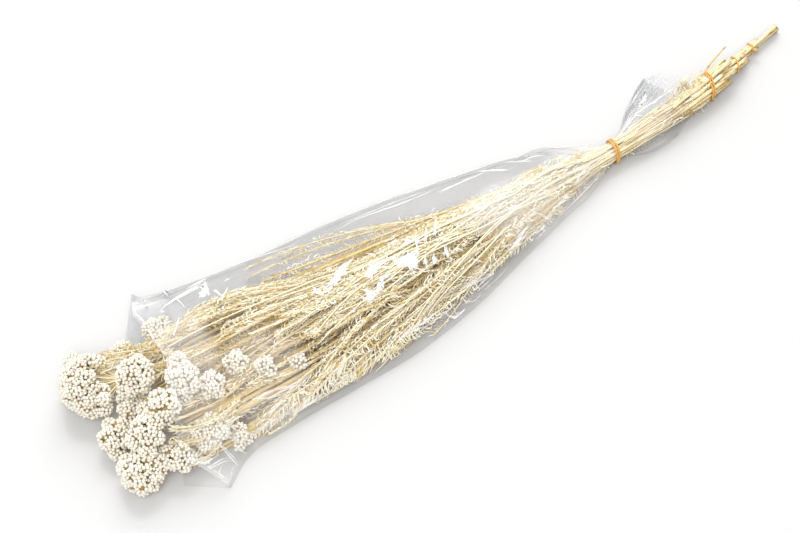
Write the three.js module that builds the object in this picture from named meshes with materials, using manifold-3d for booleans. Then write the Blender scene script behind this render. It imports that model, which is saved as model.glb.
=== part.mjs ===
// Dried rice flower: a bunch of bleached stems with needle leaves and heads of small round buds,
// held by rubber bands, lying on its side in a clear film sleeve that is open at both ends.
// Millimetres. +X runs from the flower heads to the cut stem ends, +Z is up, and the bunch lies on z = 0.
// Places along the bunch are first measured from the sleeve's rubber band, then moved to ORIGIN.

import * as THREE from 'three';
import { ConvexHull } from 'three/addons/math/ConvexHull.js';
import { LoftGeometry } from 'three/addons/geometries/LoftGeometry.js';
import { mergeVertices } from 'three/addons/utils/BufferGeometryUtils.js';
import Module from 'manifold-3d';

const wasm = await Module();
wasm.setup();

// Overall layout
const ORIGIN = new THREE.Vector3(-129.8, 7.5, 0);
const TOUCH_GAP = 0.3;
const SEED = 41;

// Stems
const STEM_SIDES = 5;
const TIP_RADIUS = 0.95;
const NECK_RADIUS = 1.4;
const CUT_RADIUS = 1.85;
const FULL_RADIUS_X = 108;
const SIDE_SHOOT_TIP = 0.6;

// Middle of the bound stems, from the sleeve's band to the cut ends
const BOUND_AXIS = [
  { x: 0, y: 0, z: 10.6 },
  { x: 14, y: 0.6, z: 10.8 },
  { x: 60, y: 4, z: 11.4 },
  { x: 108, y: 10, z: 12.3 },
  { x: 136, y: 16, z: 11.2 },
  { x: 144, y: 18, z: 9.8 },
  { x: 170, y: 27, z: 6.6 },
  { x: 207, y: 36, z: 5.2 },
];

// Distance between neighbouring stems where they are bound
const BOUND_PITCH = [
  { x: -28, pitch: 4 },
  { x: -14, pitch: 3.45 },
  { x: 0, pitch: 3.12 },
  { x: 14, pitch: 3.2 },
  { x: 108, pitch: 4.1 },
  { x: 207, pitch: 4.1 },
];

// Room kept between stems along the bunch, where they fan out and carry leaves
const STEM_ROOM = [
  { x: -460, room: 1.5 },
  { x: -400, room: 2.5 },
  { x: -300, room: 6 },
  { x: -120, room: 5 },
  { x: -60, room: 2.2 },
  { x: -28, room: 0.8 },
];

// Where the routes of the stems are worked out: free stations in the fan, closer together among
// the heads, and bound ones from the sleeve's band on
const FREE_STATIONS = [
  ...Array.from({ length: 13 }, (_, k) => -448 + 12 * k),
  ...Array.from({ length: 10 }, (_, k) => -285 + 25 * k),
  -42,
];
const BOUND_STATIONS = [-28, -14, 0, 14, 60, 108, 136, 144, 170, 207];
const LEAST_STEP = 4;
const FAN_EASE = 0.75;
const HEAD_ROOM = 2.5;
const START_ROOM = 10;
const CROSSING_FROM_X = -200;
const MOST_SWAPS = 12;
const TANGLE_SWEEPS = 8;
const RELAX_ROUNDS = 300;
const RELAX_SMOOTHING = 0.3;
const ROUTE_TOLERANCE = 0.25;

// Flower heads: centre, radius over the buds, and the way the head faces
const HEADS = [
  { name: 'a', centre: [-450, 34, 19.8], radius: 18.8, facing: [-0.9, 0.35, 0.1] },
  { name: 'b', centre: [-426, 4, 44], radius: 12.2, facing: [-0.75, 0.1, 0.6] },
  { name: 'c', centre: [-434, -2, 22], radius: 9.8, facing: [-0.95, 0.1, -0.1] },
  { name: 'd', centre: [-422, -28, 44], radius: 10.2, facing: [-0.6, -0.2, 0.75] },
  { name: 'e', centre: [-456, -13, 13], radius: 11.4, facing: [-0.95, -0.1, -0.1] },
  { name: 'f', centre: [-441, -36, 36], radius: 11.2, facing: [-0.85, -0.15, 0.4] },
  { name: 'g', centre: [-455, -49, 15.5], radius: 14, facing: [-0.9, -0.35, 0.05] },
  { name: 'h', centre: [-428, -54, 17], radius: 10.2, facing: [-0.75, -0.6, 0.2] },
  { name: 'i', centre: [-400, -15, 42], radius: 11, facing: [-0.65, 0.1, 0.75] },
  { name: 'j', centre: [-384, -28, 37], radius: 8.8, facing: [-0.6, 0.2, 0.75] },
  { name: 'k', centre: [-360, -20, 36], radius: 8.2, facing: [-0.5, 0, 0.85] },
  { name: 'l', centre: [-343, -34, 32], radius: 7.6, facing: [-0.55, -0.2, 0.8] },
  { name: 'm', centre: [-321, -41, 28], radius: 5.4, facing: [-0.6, -0.2, 0.75] },
  { name: 'n', centre: [-399, -50, 20], radius: 10.8, facing: [-0.8, -0.4, 0.45] },
  { name: 'o', centre: [-382, -59, 9.4], radius: 7.2, facing: [-0.8, -0.5, 0.2] },
  { name: 'p', centre: [-384, 50, 15], radius: 9.2, facing: [-0.85, 0.45, 0.3] },
  { name: 'q', centre: [-413, 49, 16], radius: 5.6, facing: [-0.9, 0.3, 0.3] },
];
const FACING_DEPTH = 0.86;
const BACK_DEPTH = 1.1;
const WAIST_RELIEF = 0.12;
const LOBE_RELIEF = 0.16;
const LOBE_STEEPNESS = 3.2;
const LOBE_SCATTER = 0.5;
const FEWEST_LOBES = 4;
const LOBES_PER_RADIUS = 0.5;
const BUD_PITCH = 5.75;
const BUD_HEIGHT_SHARE = 0.38;
const BUD_TOP_SHARE = 0.3;
const BARE_BACK = { from: -0.8, to: -0.45, relief: 0.35 };
const FEWEST_BUDS = 18;
const BUDS_PER_SPREAD = 10.2;
const NECK_REACH = 1.3;

// Leafy side shoots that end without a head
const SIDE_SHOOTS = [
  { name: 'far', tip: [-298, 45, 15] },
  { name: 'near', tip: [-296, -54, 12] },
];

// Needle leaves
const LEAVES_PER_STEM = 17;
const LEAF_HALF_WIDTH = 0.5;
const LEAF_LENGTH = { least: 7, most: 12 };
const LEAF_RISE = { least: 30, most: 60 };
const LEAF_CURL = { least: 15, most: 50 };
const LEAF_CLEARANCE = 0.35;
const LEAF_HEAD_ROOM = 0.5;
const LEAF_TRIES = 26;
const LEAF_END_X = -8;
const LONGEST_PIECE = 90;

// Thin dry twig beside the first band
const TWIG = { root: 118, bend: [127, 24, 21], tip: [140.5, 28, 24], radius: 0.75 };

// Clear film sleeve: its edges on the table, its crest, and how round it is at each section.
// FILM_DOWN is its thickness measured straight down, where it slopes.
const FILM = 0.75;
const FILM_DOWN = 0.9;
const SEAM_WIDTH = 3;
const EDGE_HEIGHT = 1.7;
const CREST_POWER = { near: 3.2, far: 2.3 };
const NECK_TUBE = { inner: 8.05, outer: 8.8, z: 10.6 };
const SLEEVE_STEPS = 8;
const SLEEVE = [
  { x: -405, near: -86, crest: -5, far: 101, height: 58, round: 0, mouth: 1 },
  { x: -386, near: -75, crest: -4, far: 93, height: 58, round: 0, mouth: 0.45 },
  { x: -345, near: -71, crest: -4, far: 86, height: 55, round: 0 },
  { x: -290, near: -68, crest: -2, far: 78, height: 49, round: 0 },
  { x: -235, near: -66, crest: 0, far: 75, height: 44, round: 0 },
  { x: -170, near: -55, crest: 0, far: 67, height: 39, round: 0 },
  { x: -110, near: -38, crest: 1, far: 56, height: 33, round: 0 },
  { x: -65, near: -26, crest: 1, far: 46, height: 27, round: 0 },
  { x: -32, near: -17, crest: 1, far: 32, height: 24, round: 0 },
  { x: -15, near: -12.5, crest: 0, far: 18, height: 21.5, round: 0.5 },
  { x: -5, near: -9, crest: 0, far: 9, height: 18, round: 1 },
  { x: 5, near: -9, crest: 0, far: 9, height: 18, round: 1 },
  { x: 16, near: -13, crest: 1, far: 19, height: 22, round: 0.5 },
  { x: 34, near: -12.5, crest: 2, far: 31, height: 23, round: 0 },
  { x: 57, near: -12, crest: 4.5, far: 46, height: 25, round: 0, tail: 0.35 },
  { x: 84, near: -10, crest: 8, far: 54, height: 26, round: 0, tail: 1 },
];

// How far the cut edges of the film run ahead of or behind their section, across the sleeve
const MOUTH_EDGE = [
  { u: -1, shift: -3 },
  { u: -0.75, shift: -28 },
  { u: 0, shift: 0 },
  { u: 0.5, shift: 4 },
  { u: 1, shift: 28 },
];
const TAIL_EDGE = [
  { u: -1, shift: -24 },
  { u: 0, shift: 8 },
  { u: 0.5, shift: 12 },
  { u: 1, shift: -5 },
];

// Room that stems and leaves keep from the film above, at the sides and below, and from the table
const STEM_CLEAR = { mouthX: -425, above: 1.5, side: 6, below: 0.6, table: 0.5 };
const LEAF_CLEAR = { mouthX: -435, above: 2.2, side: 8, below: 1.4 };

// Rubber bands: where each crosses the bunch, its inner radius and how far it is skewed
const BANDS = [
  { name: 'rubber_band_sleeve', x: 0, inner: 9.3, skew: 0.2 },
  { name: 'rubber_band_1', x: 108, inner: 10.65, skew: 0.4 },
  { name: 'rubber_band_2', x: 144, inner: 6.35, skew: 0.3 },
  { name: 'rubber_band_3', x: 170, inner: 4.75, skew: 0.3 },
];
const BAND_THICKNESS = 1.1;
const BAND_WIDTH = 2.4;
const BAND_SEGMENTS = 14;

const MATERIALS = {
  stem: new THREE.MeshStandardMaterial({ color: '#dcc794', roughness: 0.75, metalness: 0 }),
  buds: new THREE.MeshStandardMaterial({ color: '#f1eadb', roughness: 0.8, metalness: 0 }),
  film: new THREE.MeshStandardMaterial({
    color: '#eef0f2', roughness: 0.12, metalness: 0, transparent: true, opacity: 0.25,
  }),
  rubber: new THREE.MeshStandardMaterial({ color: '#c98a35', roughness: 0.5, metalness: 0 }),
};

// Small helpers

function makeRandom(seed) {
  let state = seed;
  return () => {
    state = (state * 1664525 + 1013904223) % 4294967296;
    return state / 4294967296;
  };
}

function vector(list) {
  return new THREE.Vector3(...list);
}

// Straight-line reading of a table, by the value under `by`
function readTable(table, by, at, value) {
  const last = table[table.length - 1];
  if (at <= table[0][by]) return table[0][value];
  if (at >= last[by]) return last[value];
  const next = table.findIndex((row) => row[by] > at);
  const before = table[next - 1];
  const after = table[next];
  const share = (at - before[by]) / (after[by] - before[by]);
  return before[value] + share * (after[value] - before[value]);
}

// Distance between two straight pieces, each from its own a to b
const ray = new THREE.Ray();
const rayPoint = new THREE.Vector3();
const segmentPoint = new THREE.Vector3();
function distanceBetween(first, second) {
  const along = new THREE.Vector3().subVectors(first.b, first.a);
  const length = along.length();
  ray.set(first.a, along.divideScalar(length));
  ray.distanceSqToSegment(second.a, second.b, rayPoint, segmentPoint);
  const onFirst = new THREE.Line3(first.a, first.b).closestPointToPoint(segmentPoint, true, rayPoint);
  const onSecond = new THREE.Line3(second.a, second.b).closestPointToPoint(onFirst, true, segmentPoint);
  return onFirst.distanceTo(onSecond);
}

// Solids

function toSolid(geometry) {
  const bare = new THREE.BufferGeometry().copy(geometry);
  bare.deleteAttribute('normal');
  bare.deleteAttribute('uv');
  const merged = mergeVertices(bare, 1e-5);
  const index = merged.index.array;
  const kept = [];
  for (let i = 0; i < index.length; i += 3) {
    const [a, b, c] = [index[i], index[i + 1], index[i + 2]];
    if (a !== b && b !== c && c !== a) kept.push(a, b, c);
  }
  const place = merged.attributes.position;
  const [a, b, c] = [new THREE.Vector3(), new THREE.Vector3(), new THREE.Vector3()];
  let volume = 0;
  for (let i = 0; i < kept.length; i += 3) {
    a.fromBufferAttribute(place, kept[i]);
    b.fromBufferAttribute(place, kept[i + 1]);
    c.fromBufferAttribute(place, kept[i + 2]);
    volume += a.dot(b.cross(c));
  }
  const triVerts = Uint32Array.from(volume > 0 ? kept : kept.reverse());
  const vertProperties = Float32Array.from(place.array);
  return new wasm.Manifold(new wasm.Mesh({ numProp: 3, vertProperties, triVerts }));
}

function toGeometry(solid) {
  const mesh = solid.getMesh();
  const geometry = new THREE.BufferGeometry();
  geometry.setAttribute('position', new THREE.Float32BufferAttribute(mesh.vertProperties, 3));
  geometry.setIndex(Array.from(mesh.triVerts));
  geometry.computeVertexNormals();
  return geometry;
}

// A loft through rings of points: capped at both ends, pointed at its last ring, or a closed loop
function loft(rings, form = 'capped') {
  const sections = form === 'loop' ? [...rings, rings[0]] : rings;
  return toSolid(new LoftGeometry(sections, { capStart: form !== 'loop', capEnd: form === 'capped' }));
}

// Ring of points round a centre, in the plane of two directions
function ringOf(centre, radius, sides, across, up, turn = 0) {
  const points = [];
  for (let k = 0; k < sides; k += 1) {
    const angle = turn + (k / sides) * Math.PI * 2;
    points.push(centre.clone()
      .addScaledVector(across, radius * Math.cos(angle))
      .addScaledVector(up, radius * Math.sin(angle)));
  }
  return points;
}

// AHEAD is a little off the axis, so that no bud points along it
const ACROSS = new THREE.Vector3(0, 1, 0);
const UP = new THREE.Vector3(0, 0, 1);
const AHEAD = new THREE.Vector3(-1, 0.013, 0.027).normalize();

// Sleeve

function sleeveAt(x) {
  const read = (value) => readTable(SLEEVE, 'x', x, value);
  return { x, near: read('near'), crest: read('crest'), far: read('far'), height: read('height') };
}

// Height of the film's outside over the table, at y across a section, straight between its points
function filmTop(section, y) {
  const isNear = y < section.crest;
  const half = isNear ? section.crest - section.near : section.far - section.crest;
  const share = Math.min(1, Math.abs(y - section.crest) / half) * (SLEEVE_STEPS / 2);
  const heightAt = (step) => 1 - (step / (SLEEVE_STEPS / 2)) ** (isNear ? CREST_POWER.near : CREST_POWER.far);
  const before = Math.min(Math.floor(share), SLEEVE_STEPS / 2 - 1);
  const curve = THREE.MathUtils.lerp(heightAt(before), heightAt(before + 1), share - before);
  return EDGE_HEIGHT + (section.height - EDGE_HEIGHT) * curve;
}

// One point of a section: u is -1 on the near edge and 1 on the far edge
function filmPoint(section, u, isTop, isInner) {
  const inset = isInner ? SEAM_WIDTH : 0;
  const half = u < 0 ? section.crest - section.near - inset : section.far - section.crest - inset;
  const y = section.crest + u * half;
  const top = filmTop(section, y) - (isInner ? FILM_DOWN : 0);
  const z = isTop ? top : (isInner ? FILM : 0);
  const angle = isTop ? (Math.PI * (1 - u)) / 2 : Math.PI * (1.5 + u / 2);
  const radius = isInner ? NECK_TUBE.inner : NECK_TUBE.outer;
  const tubeY = radius * Math.cos(angle);
  const tubeZ = NECK_TUBE.z + radius * Math.sin(angle);
  return new THREE.Vector3(
    section.x + (section.mouth ?? 0) * readTable(MOUTH_EDGE, 'u', u, 'shift')
      + (section.tail ?? 0) * readTable(TAIL_EDGE, 'u', u, 'shift'),
    THREE.MathUtils.lerp(y, tubeY, section.round),
    THREE.MathUtils.lerp(z, tubeZ, section.round),
  );
}

function filmRing(section, isInner) {
  const points = [];
  for (let k = 0; k < SLEEVE_STEPS; k += 1) {
    points.push(filmPoint(section, -1 + (2 * k) / SLEEVE_STEPS, false, isInner));
  }
  for (let k = 0; k < SLEEVE_STEPS; k += 1) {
    points.push(filmPoint(section, 1 - (2 * k) / SLEEVE_STEPS, true, isInner));
  }
  return points;
}

function makeSleeve() {
  const outside = SLEEVE.map((section) => filmRing(section, false));
  const inside = SLEEVE.map((section) => filmRing(section, true)).reverse();
  return loft([...outside, ...inside], 'loop');
}

// Rubber bands

function boundCentre(x) {
  return new THREE.Vector3(x, readTable(BOUND_AXIS, 'x', x, 'y'), readTable(BOUND_AXIS, 'x', x, 'z'));
}

// A closed band that follows the lean of the stems it holds
function makeBand({ x, inner, skew }) {
  const section = [[inner, -1], [inner, 1], [inner + BAND_THICKNESS, 1], [inner + BAND_THICKNESS, -1]];
  const rings = [];
  for (let k = 0; k < BAND_SEGMENTS; k += 1) {
    const angle = (k / BAND_SEGMENTS) * Math.PI * 2;
    rings.push(section.map(([radius, side]) => {
      const place = boundCentre(x + skew * radius * Math.cos(angle) + (side * BAND_WIDTH) / 2);
      place.y += radius * Math.cos(angle);
      place.z += radius * Math.sin(angle);
      return place;
    }));
  }
  return loft(rings, 'loop');
}

// Stems

// Nineteen places on a hexagonal lattice, in five columns across the bunch
function makeSlots() {
  const slots = [];
  for (let q = -2; q <= 2; q += 1) {
    for (let r = -2; r <= 2; r += 1) {
      const ring = Math.max(Math.abs(q), Math.abs(r), Math.abs(q + r));
      if (ring <= 2) slots.push({ q, r, ring, y: q * Math.sqrt(0.75), z: r + q / 2 });
    }
  }
  return slots;
}

// The three stems that run through the last band, and the middle of their triangle
const LONGEST = [{ q: 0, r: 0 }, { q: 0, r: 1 }, { q: 1, r: 0 }];
const LONGEST_CENTRE = { y: Math.sqrt(0.75) / 3, z: 0.5 };
const LONGEST_ENDS = [207, 204, 182];
const LAST_SHARED_X = 146;
const LONGEST_ALONE_X = 168;

function cutEnd(slot, order) {
  const longest = LONGEST.findIndex(({ q, r }) => q === slot.q && r === slot.r);
  if (longest >= 0) return LONGEST_ENDS[longest];
  if (slot.ring < 2) return 152 + (order % 3) * 4;
  return 118 + ((order * 7) % 19);
}

function boundPlace(slot, x) {
  const pitch = readTable(BOUND_PITCH, 'x', x, 'pitch');
  const share = THREE.MathUtils.clamp((x - LAST_SHARED_X) / (LONGEST_ALONE_X - LAST_SHARED_X), 0, 1);
  const centre = boundCentre(x);
  return {
    x,
    y: centre.y + pitch * (slot.y - share * LONGEST_CENTRE.y),
    z: centre.z + pitch * (slot.z - share * LONGEST_CENTRE.z),
  };
}

function stemRadius(stem, x) {
  if (x >= 0) {
    return THREE.MathUtils.mapLinear(Math.min(x, FULL_RADIUS_X), 0, FULL_RADIUS_X, NECK_RADIUS, CUT_RADIUS);
  }
  return THREE.MathUtils.mapLinear(x, stem.start.x, 0, stem.tipRadius, NECK_RADIUS);
}

function leastApart(one, other, x) {
  return stemRadius(one, x) + stemRadius(other, x) + readTable(STEM_ROOM, 'x', x, 'room');
}

// Every stem with the point where it starts behind its head, or its leafy tip
function listStems() {
  const stems = HEADS.map((head) => {
    const facing = vector(head.facing).normalize();
    const start = vector(head.centre).addScaledVector(facing, -NECK_REACH * head.radius);
    return { name: `stem_${head.name}`, head, start, tipRadius: TIP_RADIUS };
  });
  for (const shoot of SIDE_SHOOTS) {
    stems.push({ name: `side_shoot_${shoot.name}`, start: vector(shoot.tip), tipRadius: SIDE_SHOOT_TIP });
  }
  return stems;
}

// Stems first keep their order across the bunch at its neck
function giveSlots(stems) {
  const slots = makeSlots();
  const across = [...stems].sort((one, other) => one.start.y - other.start.y);
  let taken = 0;
  for (let q = -2; q <= 2; q += 1) {
    const column = slots.filter((slot) => slot.q === q).sort((one, other) => one.z - other.z);
    const members = across.slice(taken, taken + column.length);
    members.sort((one, other) => one.start.z - other.start.z);
    members.forEach((stem, row) => { stem.slot = column[row]; });
    taken += column.length;
  }
}

// How far a stem's first route comes too close to the others and to their heads
function tangle(stem, stems) {
  const route = firstRoute(stem).filter(({ x }) => x < FREE_STATIONS.at(-1));
  let total = 0;
  for (const place of route) {
    for (const other of stems) {
      if (other === stem) continue;
      if (place.x > other.start.x) {
        const share = (place.x / other.start.x) ** FAN_EASE;
        const neck = boundPlace(other.slot, 0);
        const dy = place.y - THREE.MathUtils.lerp(neck.y, other.start.y, share);
        const dz = place.z - THREE.MathUtils.lerp(neck.z, other.start.z, share);
        total += Math.max(0, leastApart(stem, other, place.x) - Math.hypot(dy, dz)) ** 2;
      }
      if (!other.head) continue;
      const toHead = vector(other.head.centre).distanceTo(place);
      total += Math.max(0, other.head.radius + HEAD_ROOM - toHead) ** 2;
    }
  }
  return total;
}

// Swaps the slots of two stems wherever that leaves the fan less tangled
function untangle(stems) {
  let hasSwapped = true;
  for (let sweep = 0; hasSwapped && sweep < TANGLE_SWEEPS; sweep += 1) {
    hasSwapped = false;
    for (const one of stems) {
      for (const other of stems) {
        if (one === other) continue;
        const before = tangle(one, stems) + tangle(other, stems);
        [one.slot, other.slot] = [other.slot, one.slot];
        const after = tangle(one, stems) + tangle(other, stems);
        if (after < before - 1e-6) {
          hasSwapped = true;
        } else {
          [one.slot, other.slot] = [other.slot, one.slot];
        }
      }
    }
  }
}

function firstRoute(stem) {
  const start = { x: stem.start.x, y: stem.start.y, z: stem.start.z };
  const neck = boundPlace(stem.slot, 0);
  const places = [start];
  for (const x of [...FREE_STATIONS, ...BOUND_STATIONS]) {
    if (x <= stem.start.x + LEAST_STEP || x >= (stem.end ?? 0)) continue;
    if (x >= BOUND_STATIONS[0]) {
      places.push(boundPlace(stem.slot, x));
    } else {
      const share = (x / stem.start.x) ** FAN_EASE;
      places.push({
        x,
        y: neck.y + share * (start.y - neck.y),
        z: neck.z + share * (start.z - neck.z),
      });
    }
  }
  if (stem.end) places.push(boundPlace(stem.slot, stem.end));
  return places;
}

// Keeps a place above what the stem lies on, and under the film where it is inside the sleeve
function keepInside(place, radius) {
  const section = sleeveAt(place.x);
  const isInSleeve = place.x > STEM_CLEAR.mouthX;
  const floor = radius + (isInSleeve ? FILM + STEM_CLEAR.below : STEM_CLEAR.table);
  const side = radius + STEM_CLEAR.side;
  if (isInSleeve) {
    place.y = THREE.MathUtils.clamp(place.y, section.near + side, section.far - side);
    place.z = Math.min(place.z, filmTop(section, place.y) - FILM_DOWN - radius - STEM_CLEAR.above);
  }
  place.z = Math.max(place.z, floor);
}

// Moves two places at the same x apart across the bunch, until they are `least` apart
function pushApart(one, other, least, shareOfOne) {
  const dy = one.y - other.y;
  const dz = one.z - other.z;
  const apart = Math.hypot(dy, dz);
  if (apart >= least || apart === 0) return;
  const push = (least - apart) / apart;
  one.y += dy * push * shareOfOne;
  one.z += dz * push * shareOfOne;
  other.y -= dy * push * (1 - shareOfOne);
  other.z -= dz * push * (1 - shareOfOne);
}

function smooth(route) {
  for (let k = 1; k < route.length - 1; k += 1) {
    const [before, here, after] = [route[k - 1], route[k], route[k + 1]];
    if (here.x >= BOUND_STATIONS[0]) break;
    const share = (here.x - before.x) / (after.x - before.x);
    here.y += RELAX_SMOOTHING * (before.y + share * (after.y - before.y) - here.y);
    here.z += RELAX_SMOOTHING * (before.z + share * (after.z - before.z) - here.z);
  }
}

// Keeps a place off the ball of another stem's head
function keepOffHead(place, head, radius) {
  const [x, y, z] = head.centre;
  const reach = head.radius + HEAD_ROOM;
  if (Math.abs(place.x - x) >= reach) return;
  const least = Math.sqrt(reach ** 2 - (place.x - x) ** 2) + radius + TOUCH_GAP;
  pushApart(place, { y, z }, least, 1);
}

// Two stems that still touch somewhere in the fan, if any
function findCrossing(stems) {
  for (const one of stems) {
    for (const other of stems) {
      if (one.name >= other.name) continue;
      for (const piece of stemPieces(one)) {
        if (piece.b.x < CROSSING_FROM_X || piece.a.x > BOUND_STATIONS[0]) continue;
        for (const near of stemPieces(other)) {
          if (near.b.x < piece.a.x || near.a.x > piece.b.x) continue;
          if (distanceBetween(piece, near) < piece.radius + near.radius + TOUCH_GAP) return [one, other];
        }
      }
    }
  }
  return null;
}

function relaxRoutes(stems) {
  for (let round = 0; round < RELAX_ROUNDS; round += 1) {
    for (const stem of stems) smooth(stem.route);
    for (const x of FREE_STATIONS) {
      const crossing = stems.filter((stem) => stem.route.some((place, k) => k > 0 && place.x === x));
      const places = crossing.map((stem) => stem.route.find((place, k) => k > 0 && place.x === x));
      for (let i = 0; i < crossing.length; i += 1) {
        for (let j = i + 1; j < crossing.length; j += 1) {
          pushApart(places[i], places[j], leastApart(crossing[i], crossing[j], x), 0.5);
        }
      }
      places.forEach((place, i) => {
        for (const other of stems) {
          if (other === crossing[i]) continue;
          if (Math.abs(x - other.start.x) < START_ROOM) {
            pushApart(place, other.start.clone(), leastApart(crossing[i], other, x), 1);
          }
          if (other.head) keepOffHead(place, other.head, stemRadius(crossing[i], x));
        }
        keepInside(place, stemRadius(crossing[i], x));
      });
    }
  }
}

// Leaves out the places of the fan that lie on a straight run
function thinOut(route) {
  const points = route.map(({ x, y, z }) => new THREE.Vector3(x, y, z));
  const kept = [points[0]];
  for (let k = 1; k < points.length - 1; k += 1) {
    const run = new THREE.Line3(kept[kept.length - 1], points[k + 1]);
    const off = run.closestPointToPoint(points[k], true, new THREE.Vector3()).distanceTo(points[k]);
    if (off > ROUTE_TOLERANCE || points[k].x >= FREE_STATIONS.at(-1)) kept.push(points[k]);
  }
  return [...kept, points[points.length - 1]];
}

function layRoutes(stems) {
  stems.forEach((stem, order) => { stem.end = cutEnd(stem.slot, order); });
  for (const stem of stems) stem.route = firstRoute(stem);
  relaxRoutes(stems);
  for (const stem of stems) stem.points = thinOut(stem.route);
}

// Lays all stems, and swaps the slots of two that cross, until none do
function planStems() {
  const stems = listStems();
  giveSlots(stems);
  untangle(stems);
  layRoutes(stems);
  for (let round = 0; round < MOST_SWAPS; round += 1) {
    const crossing = findCrossing(stems);
    if (!crossing) break;
    const [one, other] = crossing;
    [one.slot, other.slot] = [other.slot, one.slot];
    layRoutes(stems);
  }
  return stems;
}

function makeStem(stem) {
  const rings = stem.points.map((point) => (
    ringOf(point, stemRadius(stem, point.x), STEM_SIDES, ACROSS, UP, stem.slot.q + stem.slot.r)
  ));
  return loft(rings);
}

// Leaves

function pointAlong(stem, x) {
  const next = stem.points.findIndex((point) => point.x > x);
  const before = stem.points[next - 1];
  const after = stem.points[next];
  return new THREE.Vector3().lerpVectors(before, after, (x - before.x) / (after.x - before.x));
}

function stemPieces(stem) {
  const pieces = [];
  for (let k = 1; k < stem.points.length; k += 1) {
    const a = stem.points[k - 1];
    const b = stem.points[k];
    pieces.push({ a, b, radius: Math.max(stemRadius(stem, a.x), stemRadius(stem, b.x)), owner: stem.name });
  }
  return pieces;
}

function proposeLeaf(stem, x, random) {
  const root = pointAlong(stem, x);
  const ahead = pointAlong(stem, Math.max(x - LEAF_LENGTH.least, stem.start.x));
  const along = ahead.sub(root).normalize();
  const across = new THREE.Vector3().crossVectors(along, UP).normalize();
  const over = new THREE.Vector3().crossVectors(across, along);
  const turn = random() * Math.PI * 2;
  const outward = across.multiplyScalar(Math.cos(turn)).addScaledVector(over, Math.sin(turn));
  const between = ({ least, most }) => THREE.MathUtils.lerp(least, most, random());
  const rise = THREE.MathUtils.degToRad(between(LEAF_RISE));
  const curl = rise - THREE.MathUtils.degToRad(between(LEAF_CURL));
  const length = between(LEAF_LENGTH);
  const bend = root.clone()
    .addScaledVector(along, Math.cos(rise) * length * 0.5)
    .addScaledVector(outward, Math.sin(rise) * length * 0.5);
  const tip = bend.clone()
    .addScaledVector(along, Math.cos(curl) * length * 0.5)
    .addScaledVector(outward, Math.sin(curl) * length * 0.5);
  return { root, bend, tip, side: new THREE.Vector3().crossVectors(along, outward).normalize(), outward };
}

function isLeafClear(leaf, owner, obstacles) {
  const pieces = [
    { a: leaf.root, b: leaf.bend, radius: LEAF_HALF_WIDTH },
    { a: leaf.bend, b: leaf.tip, radius: LEAF_HALF_WIDTH },
  ];
  for (const point of [leaf.bend, leaf.tip]) {
    const section = sleeveAt(point.x);
    if (point.z < FILM + LEAF_CLEAR.below) return false;
    if (point.x < LEAF_CLEAR.mouthX) continue;
    if (point.y < section.near + LEAF_CLEAR.side || point.y > section.far - LEAF_CLEAR.side) return false;
    if (point.z > filmTop(section, point.y) - FILM_DOWN - LEAF_CLEAR.above) return false;
  }
  for (const piece of pieces) {
    for (const head of HEADS) {
      const toHead = new THREE.Line3(piece.a, piece.b)
        .closestPointToPoint(vector(head.centre), true, new THREE.Vector3())
        .distanceTo(vector(head.centre));
      if (toHead < head.radius + piece.radius + LEAF_HEAD_ROOM) return false;
    }
    for (const other of obstacles) {
      if (other.owner === owner && !other.isLeaf) continue;
      if (Math.abs(other.a.x - piece.a.x) > LONGEST_PIECE) continue;
      const least = piece.radius + other.radius + LEAF_CLEARANCE;
      if (distanceBetween(piece, other) < least) return false;
    }
  }
  return true;
}

function growLeaves(stems) {
  const random = makeRandom(SEED);
  const obstacles = stems.flatMap(stemPieces);
  for (const stem of stems) stem.leaves = [];
  for (let k = 0; k < LEAVES_PER_STEM; k += 1) {
    for (const stem of stems) {
      const first = stem.start.x + LEAST_STEP;
      const spacing = (LEAF_END_X - first) / LEAVES_PER_STEM;
      for (let attempt = 0; attempt < LEAF_TRIES; attempt += 1) {
        const leaf = proposeLeaf(stem, first + spacing * (k + random()), random);
        if (!isLeafClear(leaf, stem.name, obstacles)) continue;
        stem.leaves.push(leaf);
        const piece = { radius: LEAF_HALF_WIDTH, owner: stem.name, isLeaf: true };
        obstacles.push({ ...piece, a: leaf.root, b: leaf.bend });
        obstacles.push({ ...piece, a: leaf.bend, b: leaf.tip });
        break;
      }
    }
  }
}

// A three-sided needle that rises from the stem, bends and ends in a point
function makeLeaf({ root, bend, tip, side, outward }) {
  const rings = [
    ringOf(root, LEAF_HALF_WIDTH, 3, outward, side),
    ringOf(bend, LEAF_HALF_WIDTH, 3, outward, side),
    ringOf(tip, 0, 3, outward, side),
  ];
  return loft(rings, 'pointed');
}

function makeTwig(stem) {
  const rings = [
    ringOf(pointAlong(stem, TWIG.root), TWIG.radius, 4, ACROSS, UP),
    ringOf(vector(TWIG.bend), TWIG.radius, 4, ACROSS, UP),
    ringOf(vector(TWIG.tip), TWIG.radius * 0.7, 4, ACROSS, UP),
  ];
  return loft(rings);
}

// Heads

// Directions spread evenly over a ball
function spreadDirections(count) {
  const golden = Math.PI * (3 - Math.sqrt(5));
  const list = [];
  for (let k = 0; k < count; k += 1) {
    const z = 1 - (2 * k + 1) / count;
    const flat = Math.sqrt(1 - z * z);
    list.push(new THREE.Vector3(flat * Math.cos(golden * k), flat * Math.sin(golden * k), z));
  }
  return list;
}

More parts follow.
